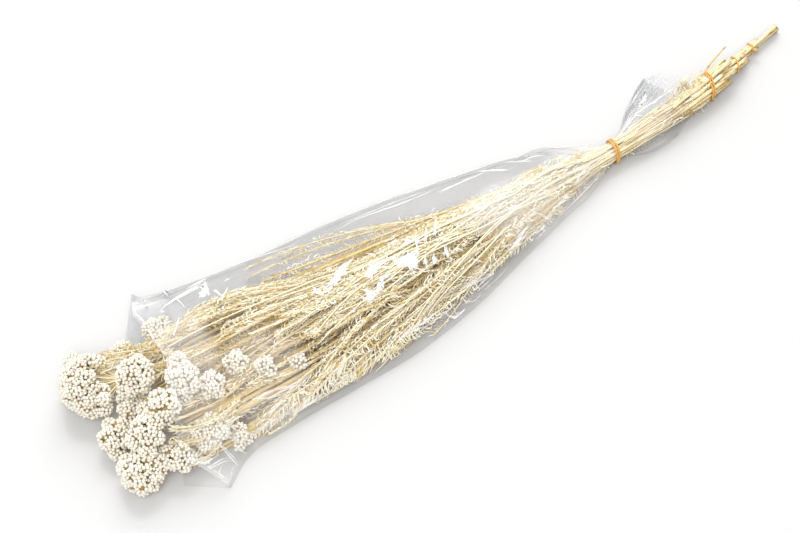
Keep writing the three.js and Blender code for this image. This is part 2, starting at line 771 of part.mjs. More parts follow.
// Distance from the head's centre to its surface: an oval dome in front, lumpy where buds group
// together, and behind it the fine stalks that narrow to the stem
function headReach(direction, facing, lobes, radius) {
  const ahead = direction.dot(facing);
  const flat = Math.sqrt(Math.max(0, 1 - ahead * ahead));
  const dome = 1 / Math.hypot(ahead / FACING_DEPTH, flat);
  const waist = 1 - WAIST_RELIEF * 2 * flat * Math.abs(ahead);
  const cone = (BACK_DEPTH / (Math.abs(ahead) + BACK_DEPTH * flat)) * waist;
  const nearest = Math.max(...lobes.map((lobe) => lobe.dot(direction)));
  const dip = LOBE_RELIEF * Math.min(1, (1 - nearest) * LOBE_STEEPNESS);
  return radius * (ahead > 0 ? dome : cone) * (1 - dip);
}

// Joins two closed rings of point numbers, each in order round the same bud
function bridge(lower, upper, faces) {
  let i = 0;
  let j = 0;
  while (i < lower.length || j < upper.length) {
    const a = lower[i % lower.length];
    const b = upper[j % upper.length];
    const takeLower = j >= upper.length
      || (i < lower.length && i / lower.length <= j / upper.length);
    if (takeLower) {
      faces.push([a.id, lower[(i + 1) % lower.length].id, b.id]);
      i += 1;
    } else {
      faces.push([a.id, upper[(j + 1) % upper.length].id, b.id]);
      j += 1;
    }
  }
}

// A closed lumpy ball covered in buds, each a faceted bump over its own cell. The cell that faces
// the stem is drawn out instead, as the fine stalks that gather there.
function makeHead(head, stem, random) {
  const centre = vector(head.centre);
  const facing = vector(head.facing).normalize();
  const count = Math.max(FEWEST_BUDS, Math.round((BUDS_PER_SPREAD * head.radius ** 2) / BUD_PITCH ** 2));
  const pitch = Math.sqrt(BUDS_PER_SPREAD / count) * head.radius;
  const turn = new THREE.Quaternion().setFromUnitVectors(UP, facing);
  const buds = spreadDirections(count).map((direction) => direction.applyQuaternion(turn));
  const scatter = () => LOBE_SCATTER * (random() - 0.5);
  const lobeCount = Math.max(FEWEST_LOBES, Math.round(head.radius * LOBES_PER_RADIUS));
  const lobes = spreadDirections(lobeCount).map((lobe) => (
    lobe.add(new THREE.Vector3(scatter(), scatter(), scatter())).normalize()
  ));
  const reach = (direction) => headReach(direction, facing, lobes, head.radius);
  const points = [];
  const faces = [];
  const cells = new Map(buds.map((bud) => [bud, []]));
  for (const face of new ConvexHull().setFromPoints(buds).faces) {
    const corners = [face.edge, face.edge.next, face.edge.prev].map((edge) => edge.head().point);
    const middle = corners.reduce((sum, corner) => sum.add(corner), new THREE.Vector3()).normalize();
    const budShare = THREE.MathUtils.smoothstep(middle.dot(facing), BARE_BACK.from, BARE_BACK.to);
    const relief = BUD_HEIGHT_SHARE * pitch * THREE.MathUtils.lerp(BARE_BACK.relief, 1, budShare);
    const id = points.push(centre.clone().addScaledVector(middle, reach(middle) - relief)) - 1;
    corners.forEach((corner) => cells.get(corner).push({ id, middle }));
  }
  const foot = stem.start.clone();
  foot.x -= TOUCH_GAP;
  const toFoot = foot.clone().sub(centre).normalize();
  const footBud = buds.reduce((best, bud) => (bud.dot(toFoot) > best.dot(toFoot) ? bud : best));
  for (const [bud, cell] of cells) {
    const east = new THREE.Vector3().crossVectors(bud, AHEAD).normalize();
    const north = new THREE.Vector3().crossVectors(bud, east);
    const angleIn = ({ middle }, right, up) => {
      const offset = middle.clone().sub(bud);
      return Math.atan2(offset.dot(up), offset.dot(right));
    };
    cell.sort((one, other) => angleIn(one, east, north) - angleIn(other, east, north));
    const top = bud === footBud
      ? ringOf(foot, TIP_RADIUS, STEM_SIDES, ACROSS, UP, angleIn(cell[0], ACROSS, UP))
      : ringOf(centre.clone().addScaledVector(bud, reach(bud)), BUD_TOP_SHARE * pitch, 3,
        east, north, angleIn(cell[0], east, north));
    const topCell = top.map((point) => ({ id: points.push(point) - 1 }));
    bridge(cell, topCell, faces);
    for (let k = 2; k < top.length; k += 1) faces.push([topCell[0].id, topCell[k - 1].id, topCell[k].id]);
  }
  const geometry = new THREE.BufferGeometry().setFromPoints(points);
  geometry.setIndex(faces.flat());
  return toSolid(geometry);
}

// The whole bunch

const bunch = new THREE.Group();

function addPiece(name, solid, material) {
  const mesh = new THREE.Mesh(toGeometry(solid), material);
  mesh.name = name;
  mesh.position.copy(ORIGIN).negate();
  bunch.add(mesh);
}

const stems = planStems();
growLeaves(stems);
const twigStem = stems.filter((stem) => stem.slot.q === 2 && stem.end > TWIG.root + LEAST_STEP)
  .sort((one, other) => other.slot.z - one.slot.z)[0];

for (const stem of stems) {
  let solid = makeStem(stem);
  for (const leaf of stem.leaves) solid = solid.add(makeLeaf(leaf));
  if (stem === twigStem) solid = solid.add(makeTwig(stem));
  addPiece(stem.name, solid, MATERIALS.stem);
}

const headRandom = makeRandom(SEED);
for (const stem of stems.filter(({ head }) => head)) {
  addPiece(`head_${stem.head.name}`, makeHead(stem.head, stem, headRandom), MATERIALS.buds);
}

addPiece('film_sleeve', makeSleeve(), MATERIALS.film);
for (const band of BANDS) addPiece(band.name, makeBand(band), MATERIALS.rubber);

export default bunch;
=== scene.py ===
# Dried rice flower: a bunch of bleached stems in a clear film sleeve, lying on a white table.
# Sizes here are millimetres, in the part's own frame: +X runs from the flower heads to the cut
# stem ends, +Z is up, and the bunch lies on z = 0. A mesh is turned into metres when it is made.
# Places on the sleeve are measured from its band. An angle is in degrees where it is named so.

import math

import bpy
import numpy as np
from mathutils import Matrix, Vector


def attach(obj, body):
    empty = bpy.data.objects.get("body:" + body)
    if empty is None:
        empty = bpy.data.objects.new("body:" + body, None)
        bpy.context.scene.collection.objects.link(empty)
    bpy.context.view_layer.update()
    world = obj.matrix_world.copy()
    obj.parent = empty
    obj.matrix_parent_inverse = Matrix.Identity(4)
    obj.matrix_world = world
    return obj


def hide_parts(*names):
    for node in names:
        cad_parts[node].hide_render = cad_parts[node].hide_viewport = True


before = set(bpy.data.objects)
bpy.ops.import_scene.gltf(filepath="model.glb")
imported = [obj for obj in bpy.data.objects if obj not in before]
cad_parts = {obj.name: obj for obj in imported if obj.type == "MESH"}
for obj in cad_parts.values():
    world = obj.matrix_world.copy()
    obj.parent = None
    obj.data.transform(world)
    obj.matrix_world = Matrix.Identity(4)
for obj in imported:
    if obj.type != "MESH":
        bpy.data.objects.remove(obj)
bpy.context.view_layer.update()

MM = 0.001
SEED = 41
rng = np.random.default_rng(SEED)
film_rng = np.random.default_rng(SEED)

# The sleeve's band crosses the bunch here
BAND_AT = np.array([129.8, -7.5, 0.0])
FLOOR_GAP = 0.25


# Small helpers

# A direction that no stem runs along, which keeps the rings of a tube from twisting
LEVEL = np.array([0.12, 0.31, 0.94])
KEEL_DEPTH = 0.32


def unit(v):
    return v / np.maximum(np.linalg.norm(v, axis=-1, keepdims=True), 1e-9)


def phase():
    """Where a random wave starts."""
    return rng.uniform(0, 6)


def smooth_rows(known, rows, at):
    """Rows of a table read at places along it, smooth between the places that it knows."""
    slope = np.gradient(rows, known, axis=0)
    low = np.clip(np.searchsorted(known, at, side="right") - 1, 0, len(known) - 2)
    gap = (known[low + 1] - known[low])[..., None]
    t = (at - known[low])[..., None] / gap
    return ((1 + 2 * t) * (1 - t) ** 2 * rows[low] + t * (1 - t) ** 2 * gap * slope[low]
            + t * t * (3 - 2 * t) * rows[low + 1] + t * t * (t - 1) * gap * slope[low + 1])


def points_at(line, known, at):
    """Points of a line at places along it, where known is how far along each of its points is."""
    return np.stack([np.interp(at, known, line[:, k]) for k in range(3)], axis=-1)


def cross_at(line, x):
    """How far across and how high a line is, at each x."""
    return np.stack([np.interp(x, line[:, 0], line[:, k]) for k in (1, 2)], axis=-1)


def corners_of(node):
    return np.array([v.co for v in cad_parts[node].data.vertices]) / MM


def nodes_named(*starts):
    return sorted(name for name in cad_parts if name.startswith(starts))


def spread(count, lowest=-1.0):
    """Directions spread evenly over a ball, from the top down to a lowest height."""
    k = np.arange(count)
    z = 1 - (1 - lowest) * (k + 0.5) / count
    flat = np.sqrt(1 - z * z)
    turn = k * math.pi * (3 - math.sqrt(5))
    return np.stack([flat * np.cos(turn), flat * np.sin(turn), z], axis=1)


def turns_to(ways):
    """Rotation matrices that carry +Z to each of the given directions."""
    axis = np.cross(np.array([0.0, 0.0, 1.0]), ways)
    cross = np.zeros((len(ways), 3, 3))
    cross[:, 0, 1], cross[:, 0, 2] = -axis[:, 2], axis[:, 1]
    cross[:, 1, 0], cross[:, 1, 2] = axis[:, 2], -axis[:, 0]
    cross[:, 2, 0], cross[:, 2, 1] = -axis[:, 1], axis[:, 0]
    share = 1 / np.maximum(1 + ways[:, 2], 0.001)
    return np.eye(3) + cross + cross @ cross * share[:, None, None]


def turned(directions, facing):
    """Directions about +Z, turned to be about the way a thing faces."""
    return directions @ turns_to(np.asarray(facing)[None])[0].T


def write_values(mesh, name, values):
    """Keeps a value for each vertex of a mesh, which its material reads by name."""
    attribute = mesh.attributes.new(name, "FLOAT", "POINT")
    attribute.data.foreach_set("value", np.asarray(values, dtype=np.float32).ravel())


class Shape:
    """Vertices, faces and a tint for each vertex, gathered from many small pieces. The leaves of
    one that strays may reach past the straw's edge."""

    def __init__(self, strays=False):
        self.vertices, self.faces, self.tints, self.count = [], [], [], 0
        self.strays = strays

    def add(self, vertices, faces, tints):
        self.vertices.append(vertices)
        self.tints.append(np.broadcast_to(tints, len(vertices)))
        self.faces.append(np.asarray(faces) + self.count)
        self.count += len(vertices)

    def make(self, name, material, replaced=()):
        mesh = bpy.data.meshes.new(name)
        corners = np.concatenate([faces.ravel() for faces in self.faces])
        sizes = np.concatenate([np.full(len(faces), faces.shape[1]) for faces in self.faces])
        mesh.vertices.add(self.count)
        mesh.vertices.foreach_set("co", (np.concatenate(self.vertices) * MM).ravel())
        mesh.loops.add(len(corners))
        mesh.loops.foreach_set("vertex_index", corners)
        mesh.polygons.add(len(sizes))
        mesh.polygons.foreach_set("loop_start", np.cumsum(sizes) - sizes)
        mesh.polygons.foreach_set("use_smooth", np.ones(len(sizes), dtype=bool))
        mesh.update(calc_edges=True)
        mesh.validate()
        write_values(mesh, "tint", np.concatenate(self.tints))
        mesh.materials.append(material)
        piece = bpy.data.objects.new(name, mesh)
        bpy.context.scene.collection.objects.link(piece)
        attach(piece, "root")
        if replaced:
            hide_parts(*replaced)
        return piece


def lattice_quads(rows, columns):
    """Faces of a lattice of vertices, row by row, that closes round in each row."""
    row = np.arange(rows - 1)[:, None] * columns
    k = np.arange(columns)[None, :]
    after = (k + 1) % columns
    quads = [row + k, row + after, row + columns + after, row + columns + k]
    return np.stack(quads, axis=-1).reshape(-1, 4)


def sweep(shape, paths, radii, sides, tints, under_shade=0.0):
    """Closed tubes along many paths at once: paths is (count, steps, 3), radii (count, steps).
    Their lower side is browner than the top by the share given, as painted shade."""
    count, steps, _ = paths.shape
    along = unit(np.gradient(paths, axis=1))
    across = unit(np.cross(along, np.broadcast_to(LEVEL, along.shape)))
    over = np.cross(across, along)
    angle = np.arange(sides) / sides * 2 * math.pi
    ring = (np.cos(angle)[:, None] * across[:, :, None, :]
            + np.sin(angle)[:, None] * over[:, :, None, :])
    places = paths[:, :, None, :] + radii[:, :, None, None] * ring
    start = (np.arange(count) * steps * sides)[:, None]
    quads = (start[:, :, None] + lattice_quads(steps, sides)).reshape(-1, 4)
    first = start + np.arange(sides)[::-1]
    last = first[:, ::-1] + (steps - 1) * sides
    first_index = shape.count
    # Painted shade: browner on the lower side of each ring
    ring_tints = tints[:, :, None] + under_shade * np.clip(0.5 - ring[..., 2], 0, 1)
    shape.add(places.reshape(-1, 3), quads, ring_tints.reshape(-1))
    for cap in (first, last):
        shape.faces.append(cap + first_index)


def add_blades(shape, paths, widths, tints, facing):
    """Thin leaves along many paths at once, each folded along its middle into a shallow keel."""
    count, steps, _ = paths.shape
    along = unit(np.gradient(paths, axis=1))
    across = unit(np.cross(along, np.broadcast_to(facing[:, None, :], along.shape)))
    over = np.cross(across, along)
    side = widths[:, :, None] * across
    rise = KEEL_DEPTH * widths[:, :, None] * over
    places = np.stack([paths - side + rise, paths - rise, paths + side + rise], axis=2)
    start = (np.arange(count) * steps * 3)[:, None, None]
    row = (np.arange(steps - 1) * 3)[None, :, None] + np.arange(2)[None, None, :]
    quads = np.stack([start + row, start + row + 1, start + row + 4, start + row + 3], axis=-1)
    shape.add(places.reshape(-1, 3), quads.reshape(-1, 4), np.repeat(tints.reshape(-1), 3))


# Sleeve's form

# The film's edges on the table, its crest and its height at each section. At the neck it is a
# tube round the stems. The last two columns say how far the mouth's and the tail's edge apply.
SECTION_NAMES = ("x", "near", "crest", "far", "height", "round", "mouth", "tail")
SECTIONS = np.array([
    (-405, -86, -5, 101, 58, 0, 1, 0),
    (-386, -73, -4, 93, 58, 0, 0.45, 0),
    (-345, -67.5, -4, 86, 55, 0, 0, 0),
    (-290, -67, -2, 78, 49, 0, 0, 0),
    (-235, -66, 0, 75, 44, 0, 0, 0),
    (-170, -55, 0, 67, 39, 0, 0, 0),
    (-110, -38, 1, 56, 33, 0, 0, 0),
    (-65, -26, 1, 46, 27, 0, 0, 0),
    (-32, -17, 1, 32, 24, 0, 0, 0),
    (-15, -12.5, 0, 18, 21.5, 0.5, 0, 0),
    (-5, -9, 0, 9, 18, 1, 0, 0),
    (5, -9, 0, 9, 18, 1, 0, 0),
    (16, -13, 1, 16.5, 22, 0.5, 0, 0),
    (34, -12.5, 2, 27, 23, 0, 0, 0),
    (57, -12, 4.5, 41, 25, 0, 0, 0.35),
    (84, -10, 8, 55, 26, 0, 0, 1),
], dtype=float)

# How far the film's ends reach along the bunch, from the near edge (-1) to the far one (1)
MOUTH_EDGE = ((-1, -0.75, 0, 0.5, 1), (-3, -28, 0, 4, 28))
LOWER_MOUTH_EDGE = ((-1, -0.75, 0, 0.5, 0.7, 1), (-3, -28, 0, 2, 4, 28))
TAIL_EDGE = ((-1, -0.5, 0, 0.5, 1), (-24, -5, 3, 3, -5))

# How square the film's section is, on the near side and on the far side
CREST_POWER = (3.2, 2.3)
EDGE_HEIGHT = 1.7
TUBE_RADIUS = 8.5
TUBE_Z = 10.6

# Where the film holds the straw in, and how far the straw stays from it
MOUTH_X = -415.0
NECK_X = -30.0
TAIL_X = 95.0
SIDE_CLEAR = 3.2
TOP_CLEAR = 1.4
LEAF_FLOOR = 1.6


def section_at(x):
    """The sleeve's section at each x, smooth between the rows of the table."""
    known = SECTIONS[:, 0]
    rows = smooth_rows(known, SECTIONS, np.clip(x, known[0], known[-1]))
    return {name: rows[..., k] for k, name in enumerate(SECTION_NAMES)}


def half_width(at, near):
    """How far the film reaches from its crest, on its near side or its far side."""
    return np.where(near, at["crest"] - at["near"], at["far"] - at["crest"])


def film_height(x, y):
    """Height of the film over the table."""
    at = section_at(x)
    near = y < at["crest"]
    share = np.clip(np.abs(y - at["crest"]) / half_width(at, near), 0, 1)
    return EDGE_HEIGHT + (at["height"] - EDGE_HEIGHT) * (1 - share ** np.where(near, *CREST_POWER))


def keep_in_film(places):
    """Pushes places that would poke through the film back under it, and up from the table."""
    x, y, z = np.moveaxis(places - BAND_AT, -1, 0)
    at = section_at(x)
    inside = x > MOUTH_X
    clear = np.interp(x, (2 * NECK_X, NECK_X), (SIDE_CLEAR, TOP_CLEAR))
    y = np.where(inside & (x < TAIL_X), np.clip(y, at["near"] + clear, at["far"] - clear), y)
    top = film_height(x, y) - TOP_CLEAR
    z = np.where(inside & (x < NECK_X), np.minimum(z, top), z)
    return np.stack([x, y, np.maximum(z, LEAF_FLOOR)], axis=-1) + BAND_AT


# Materials

WHITE = (1.0, 1.0, 1.0)
BLACK = (0.0, 0.0, 0.0)

# The stems turn from bleached leaf to barked wood, and to the pale longest end, at these places
# in metres, each with the shade it has there
WOODY_FROM = 0.08
WOODY_TO = 0.19
WOOD = (0.93, 0.90, 0.83)
WOOD_SHADES = ((WOODY_FROM, WHITE), (WOODY_TO, WOOD), (0.298, WOOD), (0.308, (0.90, 0.90, 0.88)))
BARK_SHARE = (0.8, 0.8, 0.8)


class Look:
    """A material in the making: the nodes that lead to its shader. Noise is in cycles a metre."""

    def __init__(self, name, base, rough):
        self.material = bpy.data.materials.new(name)
        self.material.use_nodes = True
        self.nodes = self.material.node_tree.nodes
        self.shader = self.nodes["Principled BSDF"]
        self.set({"Base Color": base, "Roughness": rough})

    def set(self, values):
        for name, value in values.items():
            self.feed(self.shader.inputs[name], value)

    def feed(self, socket, value):
        """Gives a socket another node's output, a colour or a number."""
        if isinstance(value, bpy.types.NodeSocket):
            self.material.node_tree.links.new(value, socket)
        elif isinstance(value, tuple) and socket.type == "RGBA":
            socket.default_value = (*value, 1)
        else:
            socket.default_value = value

    def place(self):
        """Where a point is in the part's own frame, in metres."""
        return self.nodes.new("ShaderNodeTexCoord").outputs["Object"]

    def place_along(self):
        """How far towards the cut ends a point is, in metres."""
        parts = self.nodes.new("ShaderNodeSeparateXYZ")
        self.feed(parts.inputs["Vector"], self.place())
        return parts.outputs["X"]

    def noise(self, scale, detail, stretch=(1, 1, 1)):
        mapping = self.nodes.new("ShaderNodeMapping")
        self.feed(mapping.inputs["Vector"], self.place())
        self.feed(mapping.inputs["Scale"], stretch)
        noise = self.nodes.new("ShaderNodeTexNoise")
        self.feed(noise.inputs["Vector"], mapping.outputs["Vector"])
        self.feed(noise.inputs["Scale"], scale)
        self.feed(noise.inputs["Detail"], detail)
        return noise.outputs["Fac"]

    def value(self, name):
        """The value that a mesh keeps for each vertex under a name."""
        attribute = self.nodes.new("ShaderNodeAttribute")
        attribute.attribute_name = name
        return attribute.outputs["Fac"]

    def ramp(self, value, *stops):
        ramp = self.nodes.new("ShaderNodeValToRGB")
        self.feed(ramp.inputs["Fac"], value)
        while len(ramp.color_ramp.elements) < len(stops):
            ramp.color_ramp.elements.new(0.5)
        for element, (at, colour) in zip(ramp.color_ramp.elements, stops):
            element.position = at
            element.color = (*colour, 1)
        return ramp.outputs["Color"]

    def mix(self, share, one, other, blend="MIX"):
        mix = self.nodes.new("ShaderNodeMix")
        mix.data_type = "RGBA"
        mix.blend_type = blend
        for name, value in (("Factor", share), ("A", one), ("B", other)):
            self.feed(mix.inputs[name], value)
        return mix.outputs["Result"]

    def scaled_sum(self, value, factor, added):
        """A value times a factor, with another value added, kept between 0 and 1."""
        node = self.nodes.new("ShaderNodeMath")
        node.operation = "MULTIPLY_ADD"
        node.use_clamp = True
        for socket, given in zip(node.inputs, (value, factor, added)):
            self.feed(socket, given)
        return node.outputs["Value"]

    def bump(self, height, distance):
        bump = self.nodes.new("ShaderNodeBump")
        self.feed(bump.inputs["Height"], height)
        self.feed(bump.inputs["Distance"], distance * MM)
        self.feed(bump.inputs["Strength"], 1.0)
        self.set({"Normal": bump.outputs["Normal"]})

    def glow_through(self, weight, radius, depth):
        """Lets some light in under the surface, to a depth that differs by colour."""
        self.set({"Subsurface Weight": weight, "Subsurface Radius": radius, "Subsurface Scale": depth * MM})


def make_straw():
    """Dried stems and leaves: pale straw, gold and then brown as the tint rises, with fine grain,
    and with bark where the stems are bare."""
    look = Look("dried_straw", (0.85, 0.73, 0.48), 0.75)
    tint = look.value("tint")
    grain = look.noise(scale=900, detail=4, stretch=(0.12, 1, 1))
    pale = look.mix(look.noise(scale=60, detail=3), (1.0, 0.985, 0.88), (0.98, 0.94, 0.77))
    # The tint is partly the straw's own browning and partly painted shade: deep in the bunch, on lower
    # sides, at leaf bases, in the hearts of the heads and on the golden twigs low in the bunch
    deep = look.ramp(tint, (0.5, (0.80, 0.61, 0.24)), (1.0, (0.32, 0.19, 0.05)))
    tinted = look.mix(look.ramp(tint, (0.0, BLACK), (0.5, WHITE)), pale, deep)
    streaks = look.ramp(grain, (0.30, (0.66, 0.54, 0.32)), (0.42, WHITE))
    streaked = look.mix(0.6, tinted, streaks, "MULTIPLY")
    wood = look.mix(1.0, streaked, look.ramp(look.place_along(), *WOOD_SHADES), "MULTIPLY")
    fibres = look.noise(scale=420, detail=2, stretch=(0.06, 1, 1))
    bark = look.ramp(fibres, (0.37, (0.42, 0.31, 0.16)), (0.43, WHITE))
    barked = look.mix(1.0, wood, bark, "MULTIPLY")
    woodiness = look.ramp(look.place_along(), (WOODY_FROM, BLACK), (WOODY_TO, BARK_SHARE))
    look.set({"Base Color": look.mix(woodiness, wood, barked)})
    look.glow_through(0.12, (1.0, 0.7, 0.3), 1.2)
    look.bump(grain, 0.25)
    return look.material


def make_bud_skin():
    """Papery buds: creamy white, amber towards the base, partly their own colour and partly painted shade
    where they face into the head, finely wrinkled.
    """
    look = Look("papery_bud", (0.93, 0.89, 0.80), 0.55)
    pale = look.mix(look.noise(scale=240, detail=2), (0.93, 0.91, 0.84), (0.87, 0.82, 0.70))
    look.set({"Base Color": look.mix(look.value("tint"), pale, (0.56, 0.34, 0.12))})
    look.glow_through(0.2, (1.0, 0.7, 0.4), 0.8)
    look.bump(look.noise(scale=2600, detail=2), 0.12)
    return look.material


def make_film():
    """Clear glossy film: a thin grey veil, partly its own haze and partly painted reflection of darker
    surroundings, denser where the tint is high and whiter where it has painted sheen, highlights and
    glints."""
    look = Look("clear_film", (0.45, 0.46, 0.48), 0.08)
    look.set({"IOR": 1.5, "Coat Weight": 1.0, "Coat Roughness": 0.04, "Coat IOR": 1.5})
    haze = look.noise(scale=30, detail=3, stretch=(0.35, 1.3, 1.3))
    look.set({"Alpha": look.scaled_sum(haze, 0.02, look.value("tint"))})
    # Grey veil, partly the film's own haze and partly painted reflection of darker surroundings, whitened
    # by painted sheen, highlights and glints
    look.set({"Base Color": look.mix(look.value("painted_sheen"), (0.28, 0.29, 0.31), WHITE)})
    return look.material


def make_rubber():
    """Amber rubber, slightly see-through, with fine stretch lines."""
    look = Look("amber_rubber", (0.80, 0.42, 0.08), 0.38)
    amber = look.mix(look.noise(scale=180, detail=3), (0.86, 0.50, 0.12), (0.66, 0.30, 0.04))
    look.set({"Base Color": look.mix(look.value("tint"), amber, (0.40, 0.17, 0.02))})
    look.glow_through(0.3, (1.0, 0.5, 0.1), 1.0)
    look.bump(look.noise(scale=1800, detail=2, stretch=(0.3, 1, 1)), 0.1)
    return look.material


STRAW = make_straw()
BUD_SKIN = make_bud_skin()
FILM = make_film()
RUBBER = make_rubber()


# Stems and leaves

# A stem is read from its solid, whose rings have this many corners and are this flat and round
CAD_STEM_SIDES = 5
RING_GAP = 0.004
RING_ROUNDNESS = 0.05
STEM_STEP = 3.5
STEM_SIDES = 7
STEM_TINT = 0.22
STEM_TINT_STRAY = 0.05
STEM_STRAY = 0.07
STEM_WAVE = 0.08
STEM_WAVE_LENGTH = 7

# The longest stem widens towards its cut end
FLARED_X = (316.0, 334.0)
FLARE = 1.35

# Needle leaves. Angles are in degrees, apart from the stray of a leaf's turn, which is in radians,
# like the angles of twigs and curled leaves.
LEAF_SPACING = 0.72
LEAF_STEPS = 5
LEAF_LENGTH = (7.0, 12.0)
LEAF_LENGTH_STRAY = (0.82, 1.15)
LEAF_HALF_WIDTH = (0.42, 0.64)
LEAF_TAPER = np.array([0.7, 1.0, 0.95, 0.65, 0.08])
LEAF_TURN = 144
LEAF_TURN_STRAY = 0.16
SPIRAL_DRIFT = 60
LEAF_RISE = (26, 54)
LEAF_RISE_STRAY = 6
LEAF_CURL = (-15, 85)
LEAF_CURL_STRAY = 14
LEAF_CURL_POWER = 1.3
LEAF_TWIST_STRAY = 14
TIP_LEAVES = ((0, 25), (0.7, 1))

# Some tufts of leaves are hooked, over these lengths of stem
HOOK_SHARE = 0.32
HOOK_CURL = (110, 220)
HOOK_LENGTH = 1.2
TUFT_LENGTH = (9, 16)

# How bare the stems are along the bunch, from the band, and how thin their leaves are in patches
BARE_X = (-110, -10, -6, 9, 13, 62, 80, 100, 104, 120, 124, 130)
BARE_SHARE = (0.0, 0.4, 1, 1, 0.5, 0.5, 0.3, 0.4, 1, 1, 0.85, 0.97)
LAST_LEAF_X = 130.0
FIRST_LEAF = 1.0
PATCH_LENGTH = (14, 30)
PATCH_GAPS = (0.1, 0.7)
FULL_X = ((-240, -190), (0.2, 1))

# From just above the band on, leaves are shorter, lie closer and are straighter
TAIL_BLEND = 20
TAIL_SHORTER = 0.3
TAIL_RISE = 0.55
TAIL_STRAIGHTER = 0.6
TAIL_STRAIGHT_SHARE = 0.8

# How brown leaves and stems are: 0 is pale, 0.5 is gold and 1 is brown
LEAF_TINT_STRAY = 0.06
# Painted shade: each leaf is browner at its base, in the gap where it meets its stem
LEAF_BASE_SHADE_TINT = 0.13
BROWN_SHARE = 0.14
BROWN_TINT = 0.42
# Painted shade deep in the bunch: how brown at most, from what depth under the film and over what reach,
# and how much of it near the mouth and on strays
DEEPEST_SHADE_TINT = 0.21
DEPTH_FROM = 3
DEPTH_REACH = 24
MOUTH_DEPTH_SHARE = ((-420, -360), (0.3, 1))
STRAY_DEPTH_SHARE = 0.2
# Painted shade: how much browner the lower side of a stem or twig is than its top
UNDERSIDE_SHADE_TINT = 0.95

# The straw's edge on the far side, from the band: how far along, and how far across as it looks
# from above the near side, where a place's height counts with its distance
STRAW_EDGE = ((-362, -335, -316, -298, -277, -254, -229, -170, -138, -78),
              (70, 68, 62, 55, 47, 41, 37, 36, 33, 25))
STRAW_EDGE_STRAY = (0, 9)
STRAW_EDGE_SHARE = ((-100, -60), (1, 0))
RISE_SEEN = 0.84
LEAF_OUT = 1.5


def stem_line(node):
    """Middle and radius of a stem, read from the rings of corners of its CAD solid."""
    corners = np.unique(np.round(corners_of(node), 3), axis=0)
    groups = np.split(corners, np.nonzero(np.diff(corners[:, 0]) > RING_GAP)[0] + 1)
    middles, radii = [], []
    for ring in groups:
        if len(ring) != CAD_STEM_SIDES or np.ptp(ring[:, 0]) > 2 * RING_GAP:
            continue
        middle = ring.mean(axis=0)
        reach = np.linalg.norm(ring - middle, axis=1)
        if np.ptp(reach) < RING_ROUNDNESS:
            middles.append(middle)
            radii.append(reach.mean())
    return np.array(middles), np.array(radii)


def smooth_line(points, values, step):
    """A smooth line through points, cut into even steps, with a value read along it."""
    length = np.concatenate([[0], np.cumsum(np.linalg.norm(np.diff(points, axis=0), axis=1))])
    at = np.linspace(0, length[-1], max(4, int(length[-1] / step)))
    return smooth_rows(length, points, at), np.interp(at, length, values), at


def length_to(line, at, from_band):
    """How far along a stem its place at a distance from the band is."""
    return np.interp(BAND_AT[0] + from_band, line[:, 0], at)


def depth_shade_tint(places):
    """Painted shade: how much browner a leaf, twig or stem is made from where it grows, the deeper in the
    bunch the browner.
    """
    x, y, z = np.moveaxis(places - BAND_AT, -1, 0)
    top = np.where(x < NECK_X, film_height(x, y), 2 * TUBE_Z)
    share = np.interp(x, *MOUTH_DEPTH_SHARE)
    return DEEPEST_SHADE_TINT * share * np.clip((top - z - DEPTH_FROM) / DEPTH_REACH, 0, 1)


def straw_edge(x):
    return np.interp(x - BAND_AT[0], *STRAW_EDGE)


def pulled_in(path, limit):
    """Moves places that look farther across than a limit back to it, except near the neck."""
    x, y, z = np.moveaxis(path - BAND_AT, -1, 0)
    over = np.maximum(y + RISE_SEEN * z - limit, 0)
    path = path.copy()
    path[..., 1] -= over * np.interp(x, *STRAW_EDGE_SHARE)
    return path


def keep_near(path):
    """Draws a twig in to the near side of the straw's edge, so the film beyond it stays clear."""
    limit = straw_edge(path[:, 0]) - rng.uniform(*STRAW_EDGE_STRAY)
    return pulled_in(path, limit)


def leaf_roots(line, at, spacing):
    """Places along a stem where leaves grow: thinned out in patches, and where the stem is bare."""
    roots_at = np.arange(FIRST_LEAF, length_to(line, at, LAST_LEAF_X), spacing)
    root_x = np.interp(roots_at, at, line[:, 0]) - BAND_AT[0]
    patch = 0.5 + 0.5 * np.sin(roots_at / rng.uniform(*PATCH_LENGTH) + phase())
    gaps = rng.uniform(*PATCH_GAPS) * patch ** 2 * np.interp(root_x, *FULL_X)
    bare = np.maximum(np.interp(root_x, BARE_X, BARE_SHARE), gaps)
    return roots_at[rng.uniform(size=len(roots_at)) > bare]


def leaf_ways(roots_at, count, in_tail):
    """How each leaf rises from its stem and curls on, in radians, and which leaves are hooked."""
    rise = np.radians(rng.uniform(*LEAF_RISE) + rng.normal(0, LEAF_RISE_STRAY, count))
    curl = np.radians(rng.uniform(*LEAF_CURL) + rng.normal(0, LEAF_CURL_STRAY, count))
    hooked = np.sin(roots_at / rng.uniform(*TUFT_LENGTH) + phase()) > 1 - 2 * HOOK_SHARE
    curl = np.where(hooked, -np.radians(rng.uniform(*HOOK_CURL, count)), curl)
    twist = np.radians(rng.normal(0, LEAF_TWIST_STRAY, count))
    return rise * (1 - (1 - TAIL_RISE) * in_tail), curl, twist, hooked


def leaf_lengths(roots_at, count, in_tail, hooked, scale):
    """How long each leaf is."""
    reach = scale * rng.uniform(*LEAF_LENGTH) * rng.uniform(*LEAF_LENGTH_STRAY, count)
    reach = reach * np.interp(roots_at, *TIP_LEAVES) * np.where(hooked, HOOK_LENGTH, 1)
    return reach * (1 - TAIL_SHORTER * in_tail)


